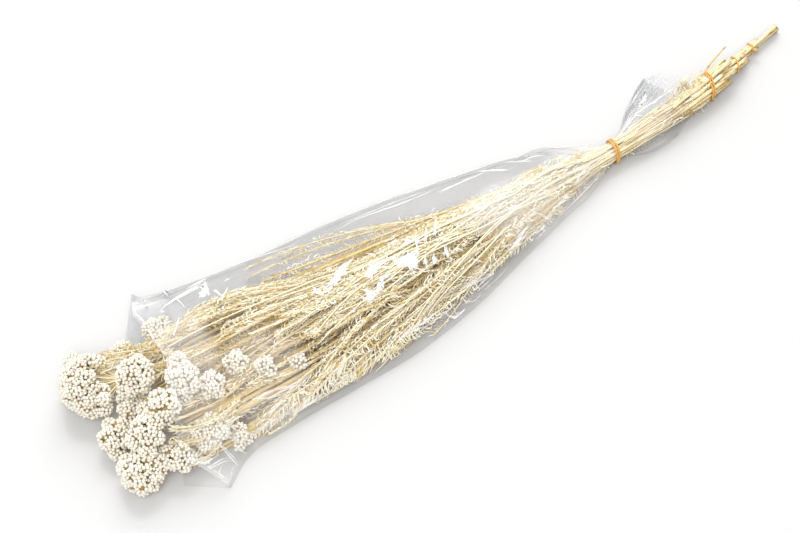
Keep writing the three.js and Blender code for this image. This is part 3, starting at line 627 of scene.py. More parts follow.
def grow_leaves(shape, line, at, spacing, scale):
    """Needle leaves in a spiral up a stem, rising from it, curling and ending in a point."""
    roots_at = leaf_roots(line, at, spacing)
    count = len(roots_at)
    if count == 0:
        return
    root = points_at(line, at, roots_at)
    ahead = unit(points_at(-np.gradient(line, at, axis=0), at, roots_at))
    side = unit(np.cross(ahead, np.array([0.0, 0.0, 1.0])))
    over = np.cross(side, ahead)
    turn = roots_at / spacing * math.radians(LEAF_TURN) + roots_at / SPIRAL_DRIFT
    turn = turn + rng.normal(0, LEAF_TURN_STRAY, count)
    outward = np.cos(turn)[:, None] * side + np.sin(turn)[:, None] * over
    sideways = np.cross(ahead, outward)
    in_tail = np.clip((root[:, 0] - BAND_AT[0]) / TAIL_BLEND + 1, 0, 1)
    rise, curl, twist, hooked = leaf_ways(roots_at, count, in_tail)
    reach = leaf_lengths(roots_at, count, in_tail, hooked, scale)
    straight = rng.uniform(size=count) < TAIL_STRAIGHT_SHARE
    curl = curl * (1 - TAIL_STRAIGHTER * in_tail * straight)
    steps = np.linspace(0, 1, LEAF_STEPS)
    angle = rise[:, None] - curl[:, None] * steps ** LEAF_CURL_POWER
    lean = twist[:, None] * steps
    way = (np.cos(angle)[..., None] * ahead[:, None, :]
           + (np.sin(angle) * np.cos(lean))[..., None] * outward[:, None, :]
           + (np.sin(angle) * np.sin(lean))[..., None] * sideways[:, None, :])
    stride = (reach / (LEAF_STEPS - 1))[:, None, None]
    paths = root[:, None, :] + np.cumsum(way * stride, axis=1) - way[:, :1] * stride
    if not shape.strays:
        seen_root = root[:, 1] - BAND_AT[1] + RISE_SEEN * root[:, 2]
        paths = pulled_in(paths, np.maximum(straw_edge(paths[..., 0]), seen_root[:, None] + LEAF_OUT))
    paths = keep_in_film(paths)
    width = rng.uniform(*LEAF_HALF_WIDTH, count)[:, None] * LEAF_TAPER
    brown = rng.uniform(size=count) < BROWN_SHARE
    own = np.where(brown, BROWN_TINT, rng.normal(0.0, LEAF_TINT_STRAY, count))
    # Painted shade: leaves deeper in the bunch are browner
    depth = depth_shade_tint(paths) * (STRAY_DEPTH_SHARE if shape.strays else 1)
    # Painted shade at each leaf's base, where it meets its stem
    tints = own[:, None] + np.linspace(LEAF_BASE_SHADE_TINT, 0, LEAF_STEPS) + depth
    add_blades(shape, paths, width, np.clip(tints, 0, 1), outward)


# Twigs

TWIG_STEP = 5.0
TWIG_SIDES = 5
TWIG_RADIUS = (0.4, 0.85)
TWIG_TINT = 0.15
TWIG_LEAF_SPACING = 0.78

# Side twigs: one for each so many millimetres of stem, how long, and how far they lean away
TWIG_SPACING = 86.0
TWIG_ROOT = (0.6, 1.3)
TWIG_LENGTH = (70, 150)
TWIG_LEAST_LENGTH = 30
TWIG_LEAST_ROOT = 6
LAST_TWIG_X = -15
TWIG_TURN = (0.0, 1.3)
TWIG_AWAY = (5.0, 14.0)
TWIG_BOW_POWER = 1.4
TWIG_WAVE = 2.5
TWIG_LEAF_SCALE = (0.6, 0.9)
OUTER_SHARE = 0.72

# Crossing twigs, which lie over their neighbours and end before they meet a flower head
CROSSING_ROOT_X = (-230, -20)
CROSSING_LENGTH = (130, 230)
CROSSING_LEAST_SHARE = 0.6
CROSSING_LEAST_ROOT = 20
CROSSING_SHIFT = (4, 30)
CROSSING_SHIFT_POWER = 1.4
CROSSING_WAVE = (1, 5)
CROSSING_WAVE_TURNS = (4, 9)
CROSSING_LEAF_SCALE = (0.55, 0.8)
LEAFY_DEPTH = 2.5
HEAD_CLEAR = 14.0
HEAD_PLACES = np.array([corners_of(node).mean(axis=0) for node in nodes_named("head_")])

# Thin strands that run along the stems under the bands, in two groups, each with the reach of
# its upper ends and of its lower ends
CLOSE_STRANDS = 5
CLOSE_X = (((-60, 20), (50, 104)), ((60, 120), (130, 200)))
CLOSE_AWAY = (1.9, 2.8)
CLOSE_RADIUS = (0.4, 0.9)
CLOSE_TINT = 0.3
CLOSE_TURN = 0.5
CLOSE_TURN_LENGTH = (12, 30)
BAND_X = (0, 108, 144, 170)
UNDER_BAND = ((3, 12), (0.35, 1))
SLEEVE_BAND_REACH = 22.0
SLEEVE_BAND_ROOM = TUBE_RADIUS - 0.9

# Loose leaves that curl off the stems: how far along from the band, and to which side
CURLED_LEAVES = ((76, 9), (81, 2), (84, 13), (88, 6), (91, 11), (95, -1), (97, 8), (100, 14),
                 (103, 4), (106, 10), (108, 0), (93, 15))
CURL_SIDE_REACH = 4.5
CURL_LEAST_Z = 9.0
CURL_STEPS = 9
CURL_START = (-0.2, 0.9)
CURL_TURN = (1.4, 4.4)
CURL_POWER = 1.5
CURL_LENGTH = (13, 23)
CURL_ACROSS = (0.1, 0.9)
CURL_UP = (0.3, 0.8)
CURL_HALF_WIDTH = (0.6, 1.0)
CURL_TAPER = ((0, 0.3, 1), (0.6, 1, 0.15))
CURL_TINT = 0.3
CURL_BACK = np.array([1.0, 0.1, 0])
CURL_FACING = np.array([[0.2, 0.3, 0.9]])

# Broad twigs low in the bunch, tinted gold as painted shade deep in it
HEART_STRANDS = 3
HEART_SIDES = 4
HEART_X = (-282.0, 90.0)
HEART_STEP = 14.0
HEART_STRAY = 6.0
HEART_GATHERED = ((0, 60), (1, 0.4))
HEART_DEPTH = (0.45, 0.9)
HEART_RADIUS = (1.2, 2.2)
HEART_TAPER = ((HEART_X[0], HEART_X[0] + 40, 40, HEART_X[1]), (0.3, 1, 1, 0.3))
HEART_STRAND_SHADE_TINT = (0.42, 0.62)

# A thin dry twig that leaves the bunch between the bands: root's x, then its bend and its tip
DRY_TWIG_X = 232.0
DRY_TWIG = ((250.3, 15.3, 21.0), (270.3, 20.5, 24.0))
DRY_TWIG_RADII = (0.8, 0.75, 0.5)
DRY_TWIG_TINT = 0.55
DRY_TWIG_REACH = 2

# The stub of a side twig by the third band: root, bend and tip
STUB_SIDES = 6
KNOB = ((298.5, 15.5, 9.0), (299.5, 12.8, 9.5), (300.2, 11.6, 9.8))
KNOB_RADII = (1.2, 2.0, 1.5)
KNOB_TINT = 0.3

# Leafy sprays among the flower heads, each a side twig of its stem: start, middle and tip
SPRAYS = {
    "stem_a": [((-242, 23, 22), (-276, 27, 26), (-304, 41, 26)),
               ((-247, 29, 16), (-280, 35, 18), (-307, 46, 20)),
               ((-258, 17, 20), (-287, 23, 20), (-311, 24, 30)),
               ((-264, 20, 24), (-292, 27, 24), (-310, 28, 32))],
    "stem_b": [((-251, -1, 34), (-273, 4, 34), (-293, 5, 42))],
    "stem_c": [((-120, -7, 18), (-180, 4, 42), (-240, 6, 50)),
               ((-140, -8, 18), (-200, 14, 40), (-262, 18, 40))],
    "stem_d": [((-253, -31, 36), (-272, -28, 34), (-287, -20, 30))],
    "stem_e": [((-130, -12, 10), (-200, -8, 24), (-262, -10, 34))],
    "stem_g": [((-267, -63, 12), (-293, -66, 12), (-311, -58, 18))],
    "stem_h": [((-100, -36, 14), (-180, -56, 18), (-247, -69, 12)),
               ((-246, -57, 30), (-275, -59, 32), (-293, -50, 34)),
               ((-250, -62, 24), (-282, -60, 24), (-299, -53, 28))],
    "stem_i": [((-110, -12, 26), (-170, -10, 44), (-226, -8, 50)),
               ((-60, -10, 24), (-130, -22, 40), (-186, -24, 46))],
    "stem_l": [((-110, -29, 15), (-170, -44, 24), (-232, -48, 32)),
               ((-120, -28, 14), (-190, -34, 18), (-250, -36, 24))],
    "stem_m": [((-70, -37, 20), (-160, -60, 16), (-227, -70, 8)),
               ((-20, -32, 18), (-110, -52, 26), (-190, -64, 22)),
               ((40, -24, 18), (-40, -44, 24), (-110, -62, 18))],
    "stem_o": [((-20, -31, 9), (-120, -57, 14), (-193, -69, 8)),
               ((-70, -38, 9), (-150, -60, 22), (-215, -66, 24))],
    "stem_p": [((-214, 21, 20), (-236, 26, 20), (-251, 36, 20))],
    "stem_q": [((-120, 20, 17), (-180, 26, 36), (-236, 22, 44)),
               ((-100, 18, 18), (-170, 22, 36), (-232, 14, 44))],
    "side_shoot_near": [((-60, -45, 10), (-125, -61, 13), (-174, -70, 6)),
                        ((30, -30, 8), (-66, -50, 15), (-153, -69, 6)),
                        ((60, -26, 10), (-45, -48, 18), (-130, -67, 9)),
                        ((20, -31, 12), (-60, -54, 14), (-120, -66, 8))],
    "side_shoot_far": [((-20, 15, 14), (-100, 40, 18), (-166, 55, 11))],
}
SPRAY_STEPS = 20
SPRAY_STRANDS = 2
SPRAY_STRAY = 2.6
SPRAY_LEAF_SCALE = (0.55, 0.9)
LAST_FREE_SPRAY_X = -250.0


def grow_twig(shape, path, leaf_scale):
    """A thin side twig along a path from its tip to its root, with leaves where it has any."""
    step = np.linalg.norm(np.diff(path, axis=0), axis=1)
    at = np.concatenate([[0], np.cumsum(step)])
    radius = np.linspace(*TWIG_RADIUS, len(path))
    # Painted shade: twigs deeper in the bunch are browner
    tints = depth_shade_tint(path)[None] + rng.uniform(0, TWIG_TINT)
    sweep(shape, path[None], radius[None], TWIG_SIDES, tints, under_shade=UNDERSIDE_SHADE_TINT)
    if leaf_scale:
        grow_leaves(shape, path, at, TWIG_LEAF_SPACING, leaf_scale)


def grow_side_twigs(shape, line, at):
    """Leafy side twigs that leave the stem and run on towards the flowers beside it."""
    for k in range(int(length_to(line, at, LAST_TWIG_X) / TWIG_SPACING)):
        root = (k + rng.uniform(*TWIG_ROOT)) * TWIG_SPACING
        length = min(rng.uniform(*TWIG_LENGTH), root - TWIG_LEAST_ROOT)
        if length < TWIG_LEAST_LENGTH:
            continue
        steps = np.arange(0, length, TWIG_STEP)
        share = steps / length
        turn = rng.uniform(*TWIG_TURN) * rng.choice((-1, 1))
        outer = np.sign(np.interp(root, at, line[:, 1]) - BAND_AT[1])
        outer = outer * (1 if rng.uniform() < OUTER_SHARE else -1)
        away = rng.uniform(*TWIG_AWAY) * np.array([0, math.cos(turn) * outer, math.sin(turn)])
        bow = np.sin(share * math.pi / 2) ** TWIG_BOW_POWER
        wave = rng.uniform(-TWIG_WAVE, TWIG_WAVE, 3) * np.array([0, 1, 0.5])
        path = points_at(line, at, root - steps) + away * bow[:, None]
        path = path + wave * np.sin(share * 2 * math.pi)[:, None] * share[:, None]
        grow_twig(shape, keep_in_film(keep_near(path))[::-1], rng.uniform(*TWIG_LEAF_SCALE))


def grow_crossing_twig(shape, line, at, leafy):
    """A long twig, leafy or bare, that crosses over its neighbours, close under the film."""
    root = length_to(line, at, rng.uniform(*CROSSING_ROOT_X))
    length = min(rng.uniform(*CROSSING_LENGTH), root - CROSSING_LEAST_ROOT)
    if length < CROSSING_LENGTH[0] * CROSSING_LEAST_SHARE:
        return
    steps = np.arange(0, length, TWIG_STEP)
    share = steps / length
    path = points_at(line, at, root - steps)
    path[:, 1] += rng.uniform(*CROSSING_SHIFT) * rng.choice((-1, 1)) * share ** CROSSING_SHIFT_POWER
    sway = rng.uniform(*CROSSING_WAVE) * np.sin(share * rng.uniform(*CROSSING_WAVE_TURNS) + phase())
    path[:, 1] += sway * share
    local = path - BAND_AT
    under_film = film_height(local[:, 0], local[:, 1]) - TOP_CLEAR - TWIG_RADIUS[1]
    under_film = under_film - (LEAFY_DEPTH if leafy else 0)
    soon = np.minimum(1, 3 * share)
    path[:, 2] += soon ** 2 * (3 - 2 * soon) * (under_film - path[:, 2])
    path = keep_near(path)
    from_heads = np.linalg.norm(path[:, None, :2] - HEAD_PLACES[None, :, :2], axis=2).min(axis=1)
    near_head = from_heads < HEAD_CLEAR
    kept = path[:np.argmax(near_head)] if near_head.any() else path
    if len(kept) > 3:
        grow_twig(shape, keep_in_film(kept)[::-1], rng.uniform(*CROSSING_LEAF_SCALE) if leafy else 0)


def grow_close_strands(shape, line, at):
    """Thin broken twigs that run along the stem under the bands."""
    for k in range(CLOSE_STRANDS):
        high, low = (length_to(line, at, rng.uniform(*ends)) for ends in CLOSE_X[k % 2])
        if low - high < 3 * TWIG_STEP:
            continue
        steps = np.linspace(high, low, int((low - high) / TWIG_STEP))
        path = points_at(line, at, steps)
        turn = rng.uniform(0, 2 * math.pi) + CLOSE_TURN * np.sin(steps / rng.uniform(*CLOSE_TURN_LENGTH))
        from_band = np.abs((path[:, :1] - BAND_AT[0]) - np.array(BAND_X)).min(axis=1)
        away = rng.uniform(*CLOSE_AWAY) * np.interp(from_band, *UNDER_BAND)
        path[:, 1] += away * np.cos(turn)
        path[:, 2] += away * np.abs(np.sin(turn))
        middle = np.array([BAND_AT[1], TUBE_Z])
        out = path[:, 1:] - middle
        reach = np.linalg.norm(out, axis=1, keepdims=True)
        under_sleeve_band = np.abs(path[:, :1] - BAND_AT[0]) < SLEEVE_BAND_REACH
        outside = under_sleeve_band & (reach > SLEEVE_BAND_ROOM)
        path[:, 1:] = np.where(outside, middle + out / reach * SLEEVE_BAND_ROOM, path[:, 1:])
        tints = np.full((1, len(path)), rng.uniform(0, CLOSE_TINT))
        radius = np.full((1, len(path)), rng.uniform(*CLOSE_RADIUS))
        sweep(shape, path[None], radius, TWIG_SIDES, tints, under_shade=UNDERSIDE_SHADE_TINT)


def grow_heart(shape, line):
    """Broad twigs low in the bunch, which fill it behind the leaves, tinted gold as painted shade."""
    x = np.arange(*HEART_X, HEART_STEP)
    for _ in range(HEART_STRANDS):
        path = np.column_stack([x, cross_at(line, x)])
        path[:, 1] += rng.uniform(-HEART_STRAY, HEART_STRAY) * np.interp(x, *HEART_GATHERED)
        path[:, 2] *= rng.uniform(*HEART_DEPTH)
        radius = rng.uniform(*HEART_RADIUS) * np.interp(x, *HEART_TAPER)
        tints = np.full((1, len(x)), rng.uniform(*HEART_STRAND_SHADE_TINT))
        sweep(shape, keep_in_film(path)[None], radius[None], HEART_SIDES, tints)


def grow_curls(shape, line):
    """Loose leaves that curl off the stems between the sleeve and the first band."""
    t = np.linspace(0, 1, CURL_STEPS)
    for from_band, side in CURLED_LEAVES:
        x = BAND_AT[0] + from_band
        root = np.array([x, *cross_at(line, x)])
        if abs(root[1] - BAND_AT[1] - side) > CURL_SIDE_REACH or root[2] < CURL_LEAST_Z:
            continue
        turn = rng.uniform(*CURL_TURN) * t ** CURL_POWER + rng.uniform(*CURL_START)
        away = np.array([0, rng.uniform(*CURL_ACROSS), rng.uniform(*CURL_UP)])
        way = -np.cos(turn)[:, None] * CURL_BACK + np.sin(turn)[:, None] * away
        path = root + np.cumsum(way * rng.uniform(*CURL_LENGTH) / CURL_STEPS, axis=0)
        width = rng.uniform(*CURL_HALF_WIDTH) * np.interp(t, *CURL_TAPER)
        tints = np.full((1, CURL_STEPS), rng.uniform(0.0, CURL_TINT))
        add_blades(shape, path[None], width[None], tints, CURL_FACING)


def grow_sprays(shape, node):
    """The leafy sprays of a stem that fill the room between the flower heads."""
    t = np.linspace(0, 1, SPRAY_STEPS)[:, None]
    for start, middle, tip in SPRAYS.get(node, ()):
        stray = SPRAY_STRAY if tip[0] < LAST_FREE_SPRAY_X else 2 * SPRAY_STRAY
        for _ in range(SPRAY_STRANDS):
            ends = [np.array(place) + rng.uniform(-stray, stray, 3) for place in (tip, middle, start)]
            weights = 2 * (t - 0.5) * (t - 1), 4 * t * (1 - t), 2 * t * (t - 0.5)
            path = weights[0] * ends[0] + weights[1] * ends[1] + weights[2] * ends[2]
            if tip[0] > LAST_FREE_SPRAY_X:
                path = keep_in_film(path if shape.strays else keep_near(path))
            path[:, 2] = np.maximum(path[:, 2], LEAF_FLOOR)
            grow_twig(shape, path, rng.uniform(*SPRAY_LEAF_SCALE))


def grow_stub(shape, path, radii, tint):
    """A short bare twig along a few places."""
    sweep(shape, np.array(path, dtype=float)[None], np.array([radii]), STUB_SIDES, np.full((1, 3), tint))


def make_stem(node):
    """A stem with its leaves and twigs; gives back its tip."""
    middles, radii = stem_line(node)
    line, radius, at = smooth_line(middles, radii, STEM_STEP)
    shape = Shape(strays=node == "side_shoot_far")
    radius = radius * np.interp(line[:, 0], FLARED_X, (1, FLARE))
    wobble = 1 + STEM_WAVE * np.sin(at / STEM_WAVE_LENGTH + phase())
    wobble = wobble + rng.uniform(-STEM_STRAY, STEM_STRAY, len(at))
    # Painted shade: stems deeper in the bunch are browner
    tints = rng.uniform(0.0, STEM_TINT) + rng.normal(0.0, STEM_TINT_STRAY, len(at)) + depth_shade_tint(line)
    sweep(shape, line[None], (radius * wobble)[None], STEM_SIDES, np.clip(tints, 0, 1)[None],
          under_shade=UNDERSIDE_SHADE_TINT)
    grow_leaves(shape, line, at, LEAF_SPACING, 1.0)
    if not shape.strays:
        grow_side_twigs(shape, line, at)
        for leafy in (True, True, False):
            grow_crossing_twig(shape, line, at, leafy)
    grow_close_strands(shape, line, at)
    if node.startswith("stem_"):
        grow_heart(shape, line)
    grow_curls(shape, line)
    grow_sprays(shape, node)
    if np.linalg.norm(corners_of(node) - DRY_TWIG[1], axis=1).min() < DRY_TWIG_REACH:
        root = points_at(line, line[:, 0], DRY_TWIG_X)
        grow_stub(shape, [root, *DRY_TWIG], DRY_TWIG_RADII, DRY_TWIG_TINT)
    if line[-1, 0] > FLARED_X[0]:
        grow_stub(shape, KNOB, KNOB_RADII, KNOB_TINT)
    shape.make(f"{node}_leafy", STRAW, [node])
    return line[0]


# Flower heads

BUD_RADIUS = 1.52
BUD_PITCH = 2.75
LEAST_BUD_GAP = 0.8
BUD_SIDES = 7
BUD_RINGS = np.radians([32, 75, 120])
BUD_BASE = -1.15
# Buds are amber towards the base: partly their own colour, partly painted shade where they face into the
# head
BUD_TIP_TINT = 0.05
BUD_SIDE_TINT = 0.5
BUD_BASE_TINT = 0.7
BUD_TINT_STRAY = (0.02, 0.05)
BUD_SIZE_STRAY = (0.84, 1.08)
BUD_LEAN = 0.2
BUD_COVER = 0.87
BUD_BACK = -0.6
BUD_SINK = 0.25
BUD_OUT = 0.4

# A head is a dome of small clusters, its lobes. Its stem's tip is NECK_REACH radii behind its centre.
DOME_FLATNESS = 0.86
NECK_REACH = 1.3
HEAD_FULLNESS = 1.17
HEAD_FRONT = 0.8
LOBE_RADIUS = 4.5
LOBE_SIZE_STRAY = (0.86, 1.1)
LOBE_CLOSENESS = 1.75
LOBE_AREA = 50
LOBE_BACK = -0.78
LOBE_LEAN = 0.12
LOBE_SINK = 0.6
REACH_STRAY = (0.93, 1.05)

# Stalks: from the stem to each cluster, and on to each bud; and the bracts in a cluster's heart
TRUNK_STEPS = 6
TRUNK_RADIUS = (0.62, 0.42)
TRUNK_SIDES = 5
TRUNK_TINT = 0.2
STALK_RADIUS = 0.3
STALK_SIDES = 3
STALK_TINT = 0.3
STALK_ROOT = 1.2
STALK_END = 0.9
HEART_DEEP = 0.7
# Painted shade: the hearts are dark brown, so the gaps between buds look shaded
HEART_SHADE_TINT = 0.9
HEART_ROUGHNESS = 0.08

# Smaller clusters beside a head, on side stalks of the same stem: place and radius of each
SIDE_CLUSTERS = {
    "a": [(-317, 55, 14, 6), (-330, 39, 10, 5.2), (-319, 5, 16, 6), (-320, -1, 34, 4.5), (-316, 12, 24, 6),
          (-325, 10, 12, 6)],
    "b": [(-305, -3, 34, 5.2), (-295, 8, 40, 5.2), (-290, -10, 44, 5.2)],
    "c": [(-314, -17, 18, 6), (-302, -25, 34, 5.2)],
    "d": [(-294, -41, 36, 5.2), (-301, -34, 40, 5.2)],
    "e": [(-329, -29, 10, 6), (-323, -9, 14, 5.2)],
    "f": [(-321, -43, 34, 6), (-317, -54, 32, 6)],
    "g": [(-321, -51, 26, 6), (-313, -59, 20, 6), (-334, -55, 10, 5.2), (-324, -63, 8, 5.2),
          (-333, -46, 14, 5.2)],
    "h": [(-305, -55, 20, 5.2), (-292, -59, 14, 4.5)],
    "i": [(-275, -31, 34, 6), (-264, -8, 42, 6)],
    "j": [(-254, -39, 32, 4.5)],
    "n": [(-266, -65, 24, 5.2), (-278, -62, 16, 5.2), (-280, -57, 26, 4.5), (-281, -66, 6, 3.8)],
    "o": [(-257, -72, 8, 3.8)],
    "p": [(-259, 44, 14, 4.5), (-245, 49, 12, 4.5)],
    "q": [(-284, 42, 16, 4.5)],
}

# Where a head is open and shows its stalks: the middle of the opening and its reach
OPENINGS = {"a": ((-306, 17, 30), 13.0)}


def bud_template():
    """One round bud about the origin, its base down."""
    places, tints = [(0, 0, 1.0)], [BUD_TIP_TINT]
    for n, polar in enumerate(BUD_RINGS):
        for k in range(BUD_SIDES):
            turn = (k + 0.5 * (n % 2)) / BUD_SIDES * 2 * math.pi
            reach = math.sin(polar)
            places.append((reach * math.cos(turn), reach * math.sin(turn), math.cos(polar)))
            tints.append(BUD_SIDE_TINT * (1 - math.cos(polar)) ** 2 / 4)
    places.append((0, 0, BUD_BASE))
    tints.append(BUD_BASE_TINT)
    faces = []
    for k in range(BUD_SIDES):
        after = (k + 1) % BUD_SIDES
        faces.append((0, 1 + k, 1 + after))
        for n in range(len(BUD_RINGS) - 1):
            a, b = 1 + n * BUD_SIDES + k, 1 + n * BUD_SIDES + after
            c, d = a + BUD_SIDES, b + BUD_SIDES
            faces.extend([(a, c, b), (b, c, d)] if n % 2 else [(a, c, d), (a, d, b)])
        base = 1 + (len(BUD_RINGS) - 1) * BUD_SIDES
        faces.append((base + k, len(places) - 1, base + after))
    return np.array(places, dtype=float), np.array(faces), np.array(tints)


BUD = bud_template()


def head_form(corners, start):
    """Centre, radius and facing of a head, from its solid's corners and its stem's tip."""
    away = corners - start
    reach = np.linalg.norm(away, axis=1)
    facing = unit(away[reach > HEAD_FRONT * reach.max()].mean(axis=0))
    radius = (away @ facing).max() / (NECK_REACH + DOME_FLATNESS)
    return start + facing * NECK_REACH * radius, HEAD_FULLNESS * radius, facing


def head_lobes(centre, radius, facing):
    """Middles of the small clusters that make up a head, over the front of a dome."""
    inner = radius - LOBE_RADIUS + LOBE_SINK
    count = max(4, round(LOBE_CLOSENESS * 2 * math.pi * inner ** 2 / LOBE_AREA))
    ways = turned(spread(count, LOBE_BACK), facing)
    ways = unit(ways + rng.uniform(-LOBE_LEAN, LOBE_LEAN, ways.shape))
    ahead = ways @ facing
    depth = np.where(ahead > 0, 1 / np.hypot(ahead / DOME_FLATNESS, np.sqrt(1 - ahead ** 2)), 1)
    reach = inner * depth * rng.uniform(*REACH_STRAY, count)
    return centre + ways * reach[:, None], ways


def place_buds(lobes, ways, sizes):
    """Buds over the outer side of each cluster, none inside another cluster."""
    places, facings = [], []
    for k, (lobe, way, size) in enumerate(zip(lobes, ways, sizes)):
        count = round(4 * math.pi * size ** 2 / (BUD_COVER * BUD_PITCH ** 2))
        outward = turned(spread(count), way)
        outward = outward[outward @ way > BUD_BACK]
        spots = lobe + outward * (size * rng.uniform(*REACH_STRAY, len(outward)))[:, None]
        for other, other_size in zip(np.delete(lobes, k, axis=0), np.delete(sizes, k)):
            keep = np.linalg.norm(spots - other, axis=1) > other_size - BUD_SINK
            spots, outward = spots[keep], outward[keep]
        places.append(spots)
        facings.append(outward)
    return np.concatenate(places), np.concatenate(facings)


def thin_crowd(places, facings):
    """Leaves out buds that sit almost in one another."""
    kept = [0]
    for k in range(1, len(places)):
        if np.linalg.norm(places[kept] - places[k], axis=1).min() > LEAST_BUD_GAP * BUD_PITCH:
            kept.append(k)
    return places[kept], facings[kept]


def add_buds(shape, places, facings):
    vertices, faces, tints = BUD
    count = len(places)
    turns = turns_to(unit(facings + rng.uniform(-BUD_LEAN, BUD_LEAN, (count, 3))))
    size = BUD_RADIUS * rng.uniform(*BUD_SIZE_STRAY, count)
    spots = places.copy()
    spots[:, 2] = np.maximum(spots[:, 2], size + FLOOR_GAP)
    buds = np.einsum("nij,vj->nvi", turns, vertices) * size[:, None, None] + spots[:, None]
    own = np.clip(tints + rng.normal(*BUD_TINT_STRAY, (count, 1)), 0, 1)
    first = np.arange(count)[:, None, None] * len(vertices)
    shape.add(buds.reshape(-1, 3), (faces + first).reshape(-1, 3), own.reshape(-1))


def add_stalks(shape, start, lobes, places, facings):
    """Fine stalks: one from the stem to each cluster, and one on to each of its buds."""
    steps = np.linspace(0, 1, TRUNK_STEPS)[None, :, None]
    middle = (start + lobes) / 2 + rng.uniform(-1, 1, lobes.shape)
    first, last = (1 - steps) ** 2 * start, steps ** 2 * lobes[:, None]
    trunk = first + 2 * steps * (1 - steps) * middle[:, None] + last
    radius = np.broadcast_to(np.linspace(*TRUNK_RADIUS, TRUNK_STEPS), trunk.shape[:2])
    sweep(shape, trunk, radius, TRUNK_SIDES, np.full(trunk.shape[:2], TRUNK_TINT))
    nearest = np.linalg.norm(places[:, None] - lobes[None], axis=2).argmin(axis=1)
    base = lobes[nearest] - STALK_ROOT * unit(lobes[nearest] - start)
    ends = places - facings * BUD_RADIUS * STALK_END
    paths = np.stack([base, ends], axis=1)
    sweep(shape, paths, np.full(paths.shape[:2], STALK_RADIUS), STALK_SIDES,
          np.full(paths.shape[:2], STALK_TINT))


def add_hearts(shape, lobes, sizes):
    """The dense bracts in the heart of each cluster, seen between its buds, dark brown as painted shade in
    the gaps.
    """
    vertices, faces, _ = BUD
    for lobe, size in zip(lobes, sizes):
        rough = 1 + rng.uniform(-HEART_ROUGHNESS, HEART_ROUGHNESS, (len(vertices), 1))
        shape.add(vertices * rough * (size - BUD_RADIUS * HEART_DEEP) + lobe, faces, HEART_SHADE_TINT)


def make_head(name, start):
    centre, radius, facing = head_form(corners_of(f"head_{name}"), start)
    lobes, ways = head_lobes(centre, radius, facing)
    if name in OPENINGS:
        middle, reach = OPENINGS[name]
        closed = np.linalg.norm(lobes - np.array(middle), axis=1) > reach
        lobes, ways = lobes[closed], ways[closed]
    bud_room = BUD_RADIUS * BUD_OUT
    sizes = LOBE_RADIUS * rng.uniform(*LOBE_SIZE_STRAY, len(lobes)) - bud_room
    for *place, size in SIDE_CLUSTERS.get(name, ()):
        lobes = np.vstack([lobes, place])
        ways = np.vstack([ways, unit(np.array(place) - centre)])
        sizes = np.append(sizes, size - bud_room)
    places, facings = thin_crowd(*place_buds(lobes, ways, sizes))
    buds = Shape()
    add_buds(buds, places, facings)
    buds.make(f"head_{name}_buds", BUD_SKIN, [f"head_{name}"])
    stalks = Shape()
    add_stalks(stalks, start, lobes, places, facings)
    add_hearts(stalks, lobes, sizes)
    stalks.make(f"head_{name}_stalks", STRAW)


tips = {node: make_stem(node) for node in nodes_named("stem_", "side_shoot_")}
for node in nodes_named("head_"):
    letter = node.removeprefix("head_")
    make_head(letter, tips[f"stem_{letter}"])


# Film sleeve

FILM_ROWS = 260
BOTTOM_COLUMNS = 48
TOP_COLUMNS = 116

# Creases stop at the side seams, are shallow under the bunch and fade towards the neck. They lift
# the film by a little more over the bunch than under it, and come from one pattern, read at two
# places far apart.
SEAM_SHARE = 0.12
BOTTOM_SLACK = 0.12
NECK_SLACK = ((-70, -20), (1, 0.3))
CREASE_LIFT = (0.8, 0.2)
CREASE_SCALE = 100
BOTTOM_CREASE_SHIFT = 300
CREASE_TABLE = 64

# Each set of creases: how wide and how long they are, how high, and the seed of their pattern. A
# broad bend shifts the others across and along by so many times its height.
BEND = (45, 60, 0.5, 3)
CREASES = ((14, 120, 1.1, 5, 1, 1), (22, 34, 1.6, 7, 1, -1), (8, 13, 0.45, 11, 2, 1))

# The loose flap at the far side of the mouth: where it begins, along and across, and how soon it
# is whole
FLAP_X = -345
FLAP_X_REACH = 20
FLAP_FROM = 0.35
FLAP_REACH = 0.2

# Pleats gathered by the band: how many, and how deep along the sleeve
PLEATS = 19
PLEAT_DEPTH = ((-150, -60, -25, -6, 6, 25, 60, 84), (0, 0.8, 1.1, 0.45, 0.45, 1.2, 1.6, 1.2))
PLEAT_WANDER = 0.35
PLEAT_WANDER_LENGTH = 23
PLEAT_WANDER_TURN = 0.9
BOTTOM_PLEAT_SHARE = 0.1
ROUND_ENOUGH = 0.4

# How dense the film looks: where it is pressed on the stems and where it lies clear of them, less so on the
# near side, and then more at its side edges, on the flap and at the tail. The grey of the veil is partly
# the film's own haze and partly painted reflection of darker surroundings.
PRESSED_VEIL = 0.012
CLEAR_VEIL = 0.165
CLEAR_ACROSS = ((-0.92, -0.78, 0.45, 0.62), (1, 0, 0, 1))
NEAR_SHARE = 0.2
FAR_EDGE_VEIL = 0.2
NEAR_EDGE_VEIL = 0.04
EDGE_SHARE = 0.03
FLAP_VEIL = 0.08
NEAR_FLAP = 0.4
TAIL_VEIL = 0.04
TAIL_VEIL_X = (8, 26)
DENSEST_VEIL = 0.9
# Painted sheen: how dense a patch must be to whiten the film fully, and how much the painted highlights
# whiten it
SHEEN_FULL = 0.10
HIGHLIGHT_SHEEN = 2

